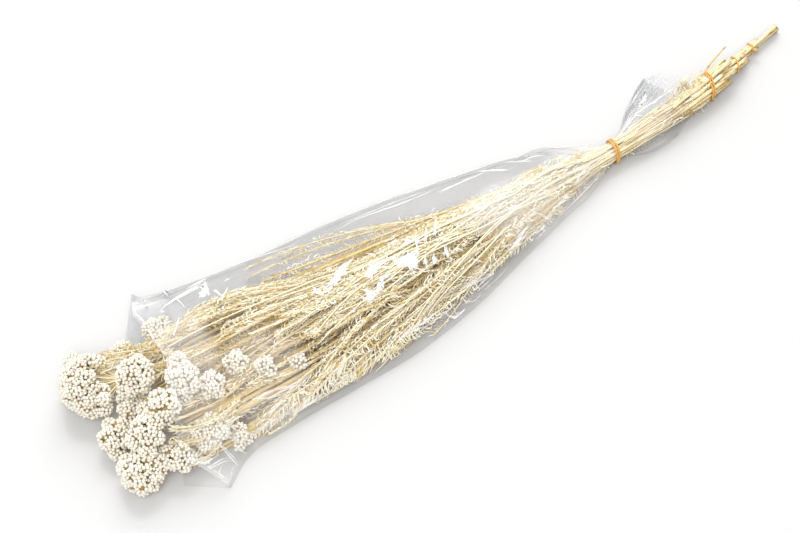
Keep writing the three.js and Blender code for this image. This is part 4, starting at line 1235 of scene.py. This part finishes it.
# Painted highlights: white on the rim of each end, in streaks along the sleeve and on sharp creases, where
# the film catches the light. Rims and streaks are brighter in some places than in others.
RIM_VEIL = 0.12
RIM_ROWS = 1.5
RIM_BRIGHTNESS = (0.6, 0.6)
RIM_WAVES = 17
STREAK_VEIL = 0.4
STREAKS = (-0.93, -0.8, 0.58, 0.66, 0.73, 0.79, 0.87, 0.955)
STREAK_SHARE = 0.012
STREAK_WOBBLE = ((0.012, 31, 0), (0.008, 13, 1))
STREAK_BRIGHTNESS = (0.5, 0.8)
STREAK_WAVE_LENGTH = 27
STREAK_WAVES = 5
CREASE_VEIL = 0.1
NEAR_CREASE_SHARE = 0.4

# Painted sheen: soft whitish patches that stand for the film's milky reflection, each with the middle, the
# reach along and across, and how dense
SHEEN_PATCHES = ((-392, 0, 27, 90, 0.15), (-350, -44, 36, 34, 0.12), (-105, -12, 60, 26, 0.24),
           (-40, -4, 45, 22, 0.16), (36, 4, 36, 20, 0.10), (-414, -78, 24, 16, 0.16))
SHEEN_SOFTNESS = 1.4

# Painted glints on single folds of the film: white slivers laid just over it from end to end, each with
# half its width and how many overlap there
GLINTS = (
    (-218, 2, -203, 5, 1.0, 1), (-272, -12, -252, 0, 1.2, 2), (-222, -18, -202, -16, 1.0, 3),
    (-212, -17, -215, -32, 0.8, 3), (-218, -20, -206, -33, 0.6, 2), (-236, -22, -242, -32, 0.8, 2),
    (-252, -33, -242, -30, 0.9, 2), (-235, -14, -226, -20, 0.6, 2), (-262, -30, -252, -36, 1.0, 2),
    (-242, -22, -228, -26, 0.6, 2), (-228, -20, -212, -24, 0.5, 2), (-202, -16, -192, -3, 0.8, 2),
    (-192, -14, -183, -2, 0.8, 2), (-182, -12, -171, 2, 0.8, 2), (-228, -57, -212, -54, 0.9, 2),
    (-174, -51, -150, -47, 1.0, 2), (-134, -39, -108, -31, 1.6, 3), (-106, -34, -90, -30, 1.1, 2),
    (-98, 2, -82, -5, 0.8, 2), (-165, 50, -118, 46, 1.3, 2), (-130, 45, -72, 38, 1.2, 2),
    (-335, 60, -236, 60, 0.9, 2), (-240, 64, -150, 56, 1.0, 2), (-310, 70, -210, 67, 0.7, 1),
    (-382, -55, -318, -60, 0.9, 1), (-372, -52, -330, -57, 0.7, 1), (-383, 38, -342, 48, 1.5, 2),
    (-352, 50, -336, 58, 1.2, 2), (-377, 94, -404, 48, 0.8, 2), (-404, 49, -412, 30, 0.9, 1),
    (-359, 92, -371, 52, 1.0, 2), (-340, 53, -350, 29, 1.0, 2), (-343, 33, -343, 21, 0.8, 2),
    (-344, 20, -335, 28, 0.9, 2), (-368, 45, -370, 27, 0.6, 1), (-378, 22, -393, 6, 0.6, 1),
    (-316, 93, -288, 86, 0.8, 2), (-433, -76, -399, -77, 0.7, 2), (-431, -78, -421, -81, 1.2, 2),
    (-418, -77, -415, -82, 0.8, 2), (-399, -78, -408, -86, 0.5, 1), (-425, -76, -419, -82, 0.7, 1),
    (-409, -78, -419, -83, 0.8, 1), (-336, -63, -319, -63, 1.1, 2), (-348, -64, -335, -62, 0.8, 1),
    (-310, -62, -291, -62, 0.8, 2), (-56, -17, -28, -9, 0.8, 2), (-82, -26, -60, -19, 0.9, 2),
    (-48, 22, -22, 12, 0.9, 2), (-90, 40, -60, 30, 0.8, 2), (-318, 72, -262, 46, 1.0, 2),
    (-150, 27, -106, 27, 1.1, 2), (-109, 34, -91, 18, 1.0, 2), (-85, 30, -69, 16, 0.9, 2),
    (-222, 42, -145, 34, 1.0, 2), (-79, -34, -24, -13, 0.7, 2), (-60, -29, -37, -17, 0.7, 1),
    (-103, -36, -91, -36, 0.9, 2), (-91, -36, -96, -30, 0.7, 1), (-185, -48, -152, -46, 0.9, 2),
    (-252, -60, -223, -58, 1.1, 2), (30, 14, 72, 14, 0.6, 2), (20, 8, 60, 20, 0.5, 1),
    (52, -9, 66, -8, 0.8, 1), (72, 20, 74, 30, 0.7, 1), (-430, -72, -408, -73, 0.7, 2),
    (-405, -70, -396, -78, 0.8, 2),
)

# Painted glints on crumpled facets: whitish patches laid just over the film, the corners of each
TORN_GLINTS = (
    ((-282, -15), (-269, -6), (-256, 0), (-244, 3), (-259, -8), (-274, -15)),
    ((-286, -5), (-287, -12), (-282, -16), (-282, -9)),
    ((-224, -13), (-232, -10), (-241, -11), (-247, -18), (-244, -21), (-237, -16)),
    ((-222, -14), (-212, -15), (-199, -15), (-211, -30), (-213, -25), (-220, -23)),
    ((-233, -22), (-243, -33), (-248, -30), (-240, -24)),
    ((-243, -32), (-253, -34), (-259, -37), (-256, -30), (-256, -25), (-250, -28)),
    ((-200, -22), (-200, -27), (-203, -32), (-204, -29)),
    ((-191, -21), (-192, -27), (-197, -31), (-196, -27)),
    ((-180, -21), (-180, -26), (-184, -31), (-185, -27)),
    ((-210, -7), (-201, -4), (-196, -5), (-200, -8)),
    ((-228, -57), (-222, -55), (-215, -54), (-224, -58)),
    ((-166, -55), (-157, -51), (-150, -50), (-141, -51), (-151, -54), (-162, -57)),
    ((-357, 31), (-342, 51), (-348, 30)), ((-374, 92), (-384, 66), (-390, 45), (-390, 56)),
    ((-398, 54), (-398, 45), (-404, 34), (-408, 32)), ((-356, 92), (-355, 88), (-370, 48), (-368, 62)),
    ((30, 16), (46, 24), (62, 34), (50, 20)),
)
TORN_STEP = 2.0
TORN_JITTER = 0.75
TORN_VEIL = (0.1, 0.7)

# Places with many small painted glints: the middle, the reach along and across, how many, and their length
GLINT_ZONES = (
    (-50, 20, 40, 14, 9, 16), (-55, -20, 40, 9, 8, 16), (-130, -42, 60, 6, 10, 12),
    (-225, -12, 50, 20, 9, 9), (-190, 62, 120, 8, 8, 34), (45, 22, 22, 14, 4, 12),
    (50, -4, 20, 5, 3, 12), (-372, 70, 22, 18, 5, 12), (-395, -66, 14, 8, 3, 10),
    (-240, -59, 120, 4, 14, 16), (-360, 10, 40, 50, 4, 12),
)
SMALL_GLINT_WIDTH = (0.4, 1.1)
SMALL_GLINT_LENGTH = (0.4, 1.2)
SMALL_GLINT_TURN = 0.35
SLIVER_STEPS = 9
SLIVER_LIFT = 2.2
SLIVER_VEIL = (0.35, 0.75)
SLIVER_SPREAD = 1.4
SLIVER_BOW = 0.06
SLIVER_WIDTH_STRAY = (0.7, 1.1)
SLIVER_BLUNTNESS = 0.7
SLIVER_END = 0.01
SLIVER_RAGGEDNESS = (0.6, 1.2)
SLIVER_VEIL_STRAY = (0.4, 1.3)
GLINT_LAST_X = 76.0
GLINT_EDGE = 1.5


def on_film(x, y):
    """Places just over the film, kept within its edges."""
    at = section_at(x)
    share = (y - at["crest"]) / half_width(at, y < at["crest"])
    x = np.clip(x, SECTIONS[0, 0] + np.interp(share, *MOUTH_EDGE) + 2, GLINT_LAST_X)
    y = np.clip(y, at["near"] + GLINT_EDGE, at["far"] - GLINT_EDGE)
    return np.stack([x, y, film_height(x, y) + SLIVER_LIFT], axis=-1)


def add_glint_patch(shape, corners):
    """A painted glint on a crumpled facet: a whitish patch with a ragged outline, densest in the middle."""
    corners = np.array(corners, dtype=float)
    outline = []
    for one, other in zip(corners, np.roll(corners, -1, axis=0)):
        count = max(2, round(np.linalg.norm(other - one) / TORN_STEP))
        outline.append(np.linspace(one, other, count, endpoint=False))
    outline = np.concatenate(outline)
    outline = outline + film_rng.normal(0, TORN_JITTER, outline.shape)
    k = np.arange(len(outline))
    faces = np.stack([0 * k, 1 + k, 1 + (k + 1) % len(k)], axis=1)
    tints = np.concatenate([[TORN_VEIL[1]], film_rng.uniform(*TORN_VEIL, len(k))])
    places = np.vstack([corners.mean(axis=0), outline])
    shape.add(on_film(places[:, 0], places[:, 1]) + BAND_AT, faces, tints)


def small_glints():
    """Short slivers scattered over the places that have many, as rows like those of GLINTS."""
    for at_x, at_y, along, across, count, length in GLINT_ZONES:
        for _ in range(count):
            x = at_x + film_rng.uniform(-along, along)
            y = at_y + film_rng.uniform(-across, across)
            reach = length * film_rng.uniform(*SMALL_GLINT_LENGTH) / 2
            turn = film_rng.normal(0, SMALL_GLINT_TURN)
            run, rise = reach * math.cos(turn), reach * math.sin(turn)
            yield x - run, y - rise, x + run, y + rise, film_rng.uniform(*SMALL_GLINT_WIDTH), 1


def add_glint_sliver(shape, ends, width, jitter):
    """A painted glint of the film: a thin pointed white sliver that lies just over it from end to end."""
    t = np.linspace(0, 1, SLIVER_STEPS)
    ends = ends + film_rng.uniform(-jitter, jitter, (2, 2))
    bow = film_rng.uniform(-SLIVER_BOW, SLIVER_BOW) * np.linalg.norm(ends[1] - ends[0])
    x, y = ((1 - t) * ends[0][i] + t * ends[1][i] for i in range(2))
    y = y + bow * np.sin(math.pi * t)
    swell = np.sin(math.pi * np.clip(t, SLIVER_END, 1 - SLIVER_END)) ** SLIVER_BLUNTNESS
    half = width * film_rng.uniform(*SLIVER_WIDTH_STRAY) * swell
    half = half * film_rng.uniform(*SLIVER_RAGGEDNESS, SLIVER_STEPS)
    middle = on_film(x, y)
    normal = unit(np.cross(on_film(x + 1, y) - middle, on_film(x, y + 1) - middle))
    tint = film_rng.uniform(*SLIVER_VEIL) * film_rng.uniform(*SLIVER_VEIL_STRAY, (1, SLIVER_STEPS))
    add_blades(shape, middle[None] + BAND_AT, half[None], tint, normal.mean(axis=0)[None])


def add_glints(shape):
    glints = [*GLINTS, *small_glints()]
    for corners in TORN_GLINTS:
        add_glint_patch(shape, corners)
    for from_x, from_y, to_x, to_y, width, count in glints:
        jitter = 0 if count == 1 else SLIVER_SPREAD * width
        for _ in range(count):
            add_glint_sliver(shape, np.array([(from_x, from_y), (to_x, to_y)]), width, jitter)


def lattice_heights(across, along, seed):
    """Heights of a sheet creased into flat triangles between points of random height."""
    table = np.random.default_rng(seed).uniform(-1, 1, (CREASE_TABLE, CREASE_TABLE))
    a = along + 0.5 * across
    row, column = np.floor(a).astype(int), np.floor(across).astype(int)
    fa, fb = a - row, across - column

    def at(down, right):
        return table[(row + down) % CREASE_TABLE, (column + right) % CREASE_TABLE]

    lower = at(0, 0) + fa * (at(1, 0) - at(0, 0)) + fb * (at(0, 1) - at(0, 0))
    upper = at(1, 1) + (1 - fa) * (at(0, 1) - at(1, 1)) + (1 - fb) * (at(1, 0) - at(1, 1))
    return np.where(fa + fb < 1, lower, upper)


def crumple(across, along):
    """Creases of the film: long folds down its length, broken up by smaller facets."""
    wide, long, high, seed = BEND
    bend = high * lattice_heights(across / wide, along / long, seed)
    heights = 0
    for wide, long, high, seed, shift_across, shift_along in CREASES:
        shifted = across / wide + shift_across * bend, along / long + shift_along * bend
        heights = heights + high * lattice_heights(*shifted, seed)
    return heights


def painted_sheen_at(x, y):
    """How much painted sheen the film has, from the densest of the soft round patches over each place."""
    shares = []
    for at_x, at_y, along, across, dense in SHEEN_PATCHES:
        inside = 1 - ((x - at_x) / along) ** 2 - ((y - at_y) / across) ** 2
        shares.append(dense * np.clip(SHEEN_SOFTNESS * inside, 0, 1))
    return np.max(shares, axis=0)


def bends(lift, axis):
    """How sharply a sheet of heights bends along one of its axes."""
    return np.abs(np.gradient(np.gradient(lift, axis=axis), axis=axis))


def sleeve_places(x, u, on_top, at):
    """The smooth sleeve: two layers that meet at its edges, drawn into a tube at the neck."""
    y = at["crest"] + u * half_width(at, u < 0)
    z = np.where(on_top, film_height(x + 0 * u, y), FLOOR_GAP)
    angle = np.where(on_top, math.pi * (1 - u) / 2, math.pi * (1.5 + u / 2))
    y = y + at["round"] * (TUBE_RADIUS * np.cos(angle) - y)
    z = z + at["round"] * (TUBE_Z + TUBE_RADIUS * np.sin(angle) - z)
    mouth = np.where(on_top, np.interp(u, *MOUTH_EDGE), np.interp(u, *LOWER_MOUTH_EDGE))
    run = x + at["mouth"] * mouth + at["tail"] * np.interp(u, *TAIL_EDGE)
    return np.stack([run, y, z], axis=-1)


def sleeve_lift(x, u, on_top, at, flap):
    """How far creases and pleats lift the film out of its smooth form."""
    seam = np.clip((1 - np.abs(u)) / SEAM_SHARE, 0, 1)
    creases = crumple(CREASE_SCALE * u + np.where(on_top, 0, BOTTOM_CREASE_SHIFT), x + 0 * u)
    slack = np.where(on_top, 1.0, np.maximum(BOTTOM_SLACK, flap)) * seam * (1 - at["round"])
    lift = slack * np.interp(x, *NECK_SLACK) * (creases + np.where(on_top, *CREASE_LIFT))
    turns = np.arange(u.shape[1]) / u.shape[1] * PLEATS
    wander = PLEAT_WANDER * np.sin(x / PLEAT_WANDER_LENGTH) * np.sin(turns[None, :] * PLEAT_WANDER_TURN)
    folds = turns[None, :] + wander
    pleats = 4 * np.abs(folds - np.floor(folds + 0.5)) - 1
    depth = np.interp(x, *PLEAT_DEPTH)
    full = on_top | (at["round"] > ROUND_ENOUGH)
    return lift + depth * pleats * np.where(full, 1, BOTTOM_PLEAT_SHARE)


def sleeve_painted_highlights(x, u, on_top, lift, flap):
    """Painted highlights on the film: white on its rims, in streaks along it and on its sharp creases."""
    sharp = bends(lift, 0) + bends(lift, 1)
    rows = np.arange(FILM_ROWS)[:, None]
    rim = np.clip(1 - np.minimum(rows, rows[::-1]) / RIM_ROWS, 0, 1)
    rim = rim * (RIM_BRIGHTNESS[0] + RIM_BRIGHTNESS[1] * np.sin(RIM_WAVES * u) ** 2)
    wobble = sum(reach * np.sin(x / length + start) for reach, length, start in STREAK_WOBBLE)
    streak = sum(np.clip(1 - np.abs(u + wobble - at_u) / STREAK_SHARE, 0, 1) for at_u in STREAKS)
    wave = np.sin(x / STREAK_WAVE_LENGTH + STREAK_WAVES * u)
    streak = streak * np.clip(STREAK_BRIGHTNESS[0] + STREAK_BRIGHTNESS[1] * wave, 0, 1) * on_top
    creased = CREASE_VEIL * sharp * np.maximum(on_top, flap) * np.where(u < 0, NEAR_CREASE_SHARE, 1)
    return RIM_VEIL * rim + STREAK_VEIL * streak + creased


def sleeve_veil(x, u, on_top, sheen_patch, flap):
    """How dense the film looks apart from its marks."""
    clear = np.where(on_top, np.interp(u, *CLEAR_ACROSS), 1) * np.where(u < 0, NEAR_SHARE, 1)
    veil = PRESSED_VEIL + (CLEAR_VEIL - PRESSED_VEIL) * clear + sheen_patch
    veil = veil + FLAP_VEIL * flap * np.where(u < 0, NEAR_FLAP, 1)
    veil = veil + TAIL_VEIL * np.interp(x, TAIL_VEIL_X, (0, 1))
    edge = np.clip(1 - (1 - np.abs(u)) / EDGE_SHARE, 0, 1)
    return veil + np.where(u > 0, FAR_EDGE_VEIL, NEAR_EDGE_VEIL) * edge


def make_sleeve():
    """The film in rows along it. In a row u runs from -1 at the near edge to 1 at the far edge
    under the bunch, and back over it."""
    x = np.linspace(SECTIONS[0, 0], SECTIONS[-1, 0], FILM_ROWS)[:, None]
    bottom = np.linspace(-1, 1, BOTTOM_COLUMNS, endpoint=False)
    top = np.linspace(1, -1, TOP_COLUMNS, endpoint=False)
    u = np.concatenate([bottom, top])[None, :]
    on_top = np.arange(u.shape[1])[None, :] >= BOTTOM_COLUMNS
    at = section_at(np.broadcast_to(x, (FILM_ROWS, u.shape[1])))
    flap = np.clip((FLAP_X - x) / FLAP_X_REACH, 0, 1) * np.clip((u - FLAP_FROM) / FLAP_REACH, 0, 1)
    places = sleeve_places(x, u, on_top, at)
    round_it = np.roll(places, -1, axis=1) - np.roll(places, 1, axis=1)
    normal = unit(np.cross(round_it, np.gradient(places, axis=0)))
    lift = sleeve_lift(x, u, on_top, at, flap)
    places = places + normal * lift[..., None]
    places[..., 2] = np.maximum(places[..., 2], FLOOR_GAP)
    # Painted sheen: soft whitish patches over the top layer
    sheen_patch = painted_sheen_at(x, at["crest"] + u * half_width(at, u < 0)) * on_top
    # Painted highlights on the rims, streaks and sharp creases
    highlights = sleeve_painted_highlights(x, u, on_top, lift, flap)
    tints = np.clip(sleeve_veil(x, u, on_top, sheen_patch, flap) + highlights, 0, DENSEST_VEIL)
    # How white the film's base is: painted sheen, highlights and glints
    painted_sheen = np.clip(np.clip(sheen_patch / SHEEN_FULL, 0, 1) + HIGHLIGHT_SHEEN * highlights, 0, 1)
    shape = Shape()
    shape.add(places.reshape(-1, 3) + BAND_AT, lattice_quads(FILM_ROWS, u.shape[1]), tints.reshape(-1))
    add_glints(shape)
    piece = shape.make("clear_sleeve", FILM, ["film_sleeve"])
    write_values(piece.data, "painted_sheen", np.concatenate([painted_sheen.ravel(), np.ones(shape.count - painted_sheen.size)]))
    return piece


sleeve = make_sleeve()


# Rubber bands

BAND_THICKNESS = 1.0
BAND_HEIGHT = 1.35
BAND_GAP = 0.15
BAND_CLEAR = 0.1
BAND_STRAY = 0.05
BAND_UNEVENNESS = 0.6
BAND_TINT = (0.1, 0.08)

# Each band: how far along it is from the sleeve's band, how much it slants, how many turns it
# has, and its radius where it goes round the film
BANDS = {
    "rubber_band_sleeve": {"x": 0, "slant": 0.2, "turns": 2, "round": 8.75},
    "rubber_band_1": {"x": 108, "slant": 0.4, "turns": 2, "round": 0},
    "rubber_band_2": {"x": 144, "slant": 0.3, "turns": 1, "round": 0},
    "rubber_band_3": {"x": 170, "slant": 0.3, "turns": 1, "round": 0},
}

# A band's section: how far out, and how far to its side in half heights
BAND_SECTION = ((0, -1), (0.35, -1.15), (0.75, -1.1), (1, -0.8), (1.05, 0), (1, 0.8),
                (0.75, 1.1), (0.35, 1.15), (0, 1))

# A loop is measured at so many places and made of so many. The bundle's lean is read from this
# far on each side of the band.
LOOP_SAMPLES = 720
LOOP_STEPS = 96
LEAN_REACH = 5


def taut_loop(middles, radii):
    """The shortest loop round a bundle of circles, and the way out at each of its points."""
    turn = np.arange(LOOP_SAMPLES) / LOOP_SAMPLES * 2 * math.pi
    out = np.stack([np.cos(turn), np.sin(turn)], axis=1)
    farthest = (out @ middles.T + radii).argmax(axis=1)
    loop = middles[farthest] + radii[farthest][:, None] * out
    step = np.linalg.norm(np.roll(loop, -1, axis=0) - loop, axis=1)
    length = np.concatenate([[0], np.cumsum(step)])
    at = np.linspace(0, length[-1], LOOP_STEPS, endpoint=False)
    closed = np.concatenate([loop, loop[:1]])
    ways = np.concatenate([out, out[:1]])
    even, outward = (np.stack([np.interp(at, length, values[:, k]) for k in range(2)], axis=1)
                     for values in (closed, ways))
    return even, unit(outward)


def add_band_turn(shape, x, loop, outward, lean, run):
    """One turn of a band round a loop: run is how far each place of the loop is from x."""
    rings = []
    for out, side in BAND_SECTION:
        place = loop + outward * out * BAND_THICKNESS
        along = run + side * BAND_HEIGHT / 2
        rings.append(np.column_stack([x + along, place + along[:, None] * lean]))
    rings = np.stack(rings, axis=1)
    count, sides = rings.shape[:2]
    row = np.arange(count)[:, None] * sides
    next_row = np.roll(row, -1, axis=0)
    k = np.arange(sides)[None, :]
    after = (k + 1) % sides
    quads = np.stack([row + k, next_row + k, next_row + after, row + after], axis=-1)
    tints = np.tile(np.clip(rng.normal(*BAND_TINT, sides), 0, 1), count)
    shape.add(rings.reshape(-1, 3), quads.reshape(-1, 4), tints)


def make_band(node, lines):
    band = BANDS[node]
    x = BAND_AT[0] + band["x"]
    crossing = [(line, radius) for line, radius in lines if line[0, 0] < x < line[-1, 0] + 1]
    middles = np.array([cross_at(line, x) for line, _ in crossing])
    radii = np.array([np.interp(x, line[:, 0], radius) for line, radius in crossing])
    if band["round"]:
        middles = np.array([[BAND_AT[1], TUBE_Z]])
        radii = np.array([band["round"]])
    loop, outward = taut_loop(middles, radii + BAND_CLEAR)
    first_line = crossing[0][0]
    lean = (cross_at(first_line, x + LEAN_REACH) - cross_at(first_line, x - LEAN_REACH)) / (2 * LEAN_REACH)
    wave = np.arange(len(loop)) / len(loop) * 2 * math.pi
    shape = Shape()
    for turn in range(band["turns"]):
        offset = (turn - (band["turns"] - 1) / 2) * (BAND_HEIGHT + BAND_GAP)
        shift = offset * (1 + BAND_UNEVENNESS * np.cos(wave - 2))
        shift = shift + rng.uniform(-BAND_STRAY, BAND_STRAY, len(loop))
        run = band["slant"] * (loop[:, 0] - loop.mean(axis=0)[0]) + shift
        add_band_turn(shape, x, loop, outward, lean, run)
    shape.make(f"{node}_wound", RUBBER, [node])


stem_lines = [stem_line(node) for node in tips]
for node in BANDS:
    make_band(node, stem_lines)


# Table, light and camera

# Degrees, millimetres and, for the table and the lamps, metres
VIEW_AZIMUTH = -35.5
VIEW_ELEVATION = 50.0
VIEW_DISTANCE = 1405.0
VIEW_TARGET = (-74.1, -6.2, 10.0)
LENS = 85.0
SENSOR = 36.0
TABLE_HALF = 6.0
TABLE_COLOUR = (0.60, 0.60, 0.60)
SKY_STRENGTH = 0.70

# Lamps: how far round from the camera, how high in degrees, how wide, and how strong in watts
LAMP_DISTANCE = 3.0
LAMPS = {"key": (-176, 50, 2.8, 69), "front": (-10, 50, 1.8, 52), "spark": (-160, 62, 0.2, 7)}


def make_table():
    mesh = bpy.data.meshes.new("table")
    corners = [(x * TABLE_HALF, y * TABLE_HALF, 0) for x, y in ((-1, -1), (1, -1), (1, 1), (-1, 1))]
    mesh.from_pydata(corners, [], [(0, 1, 2, 3)])
    table = bpy.data.objects.new("table", mesh)
    bpy.context.scene.collection.objects.link(table)
    mesh.materials.append(Look("white_table", TABLE_COLOUR, 0.9).material)


def aim(obj, place, target):
    """Puts a thing at a place in metres, with its -Z towards a target."""
    away = Vector(place) - Vector(target)
    obj.matrix_world = Matrix.Translation(place) @ away.to_track_quat("Z", "Y").to_matrix().to_4x4()


def way_back(azimuth, elevation):
    a, e = math.radians(azimuth), math.radians(elevation)
    return Vector((math.sin(a) * math.cos(e), -math.cos(a) * math.cos(e), math.sin(e)))


def make_camera():
    data = bpy.data.cameras.new("camera")
    data.lens = LENS
    data.sensor_width = SENSOR
    data.clip_start = 0.05
    camera = bpy.data.objects.new("camera", data)
    bpy.context.scene.collection.objects.link(camera)
    target = Vector(VIEW_TARGET) * MM
    aim(camera, target + way_back(VIEW_AZIMUTH, VIEW_ELEVATION) * VIEW_DISTANCE * MM, target)
    bpy.context.scene.camera = camera


def make_lamp(name, round_from_camera, elevation, size, power):
    data = bpy.data.lights.new(name, "AREA")
    data.shape = "DISK"
    data.size = size
    data.energy = power
    lamp = bpy.data.objects.new(name, data)
    bpy.context.scene.collection.objects.link(lamp)
    aim(lamp, way_back(VIEW_AZIMUTH + round_from_camera, elevation) * LAMP_DISTANCE, (0, 0, 0))


def make_studio():
    for name, values in LAMPS.items():
        make_lamp(name, *values)
    world = bpy.data.worlds.new("studio")
    world.use_nodes = True
    world.node_tree.nodes["Background"].inputs["Color"].default_value = (1, 1, 1, 1)
    world.node_tree.nodes["Background"].inputs["Strength"].default_value = SKY_STRENGTH
    scene = bpy.context.scene
    scene.world = world
    scene.view_settings.view_transform = "Standard"
    scene.cycles.transparent_max_bounces = 24
    scene.cycles.max_bounces = 16
    scene.cycles.diffuse_bounces = 8


make_table()
make_camera()
make_studio()

bpy.context.view_layer.update()
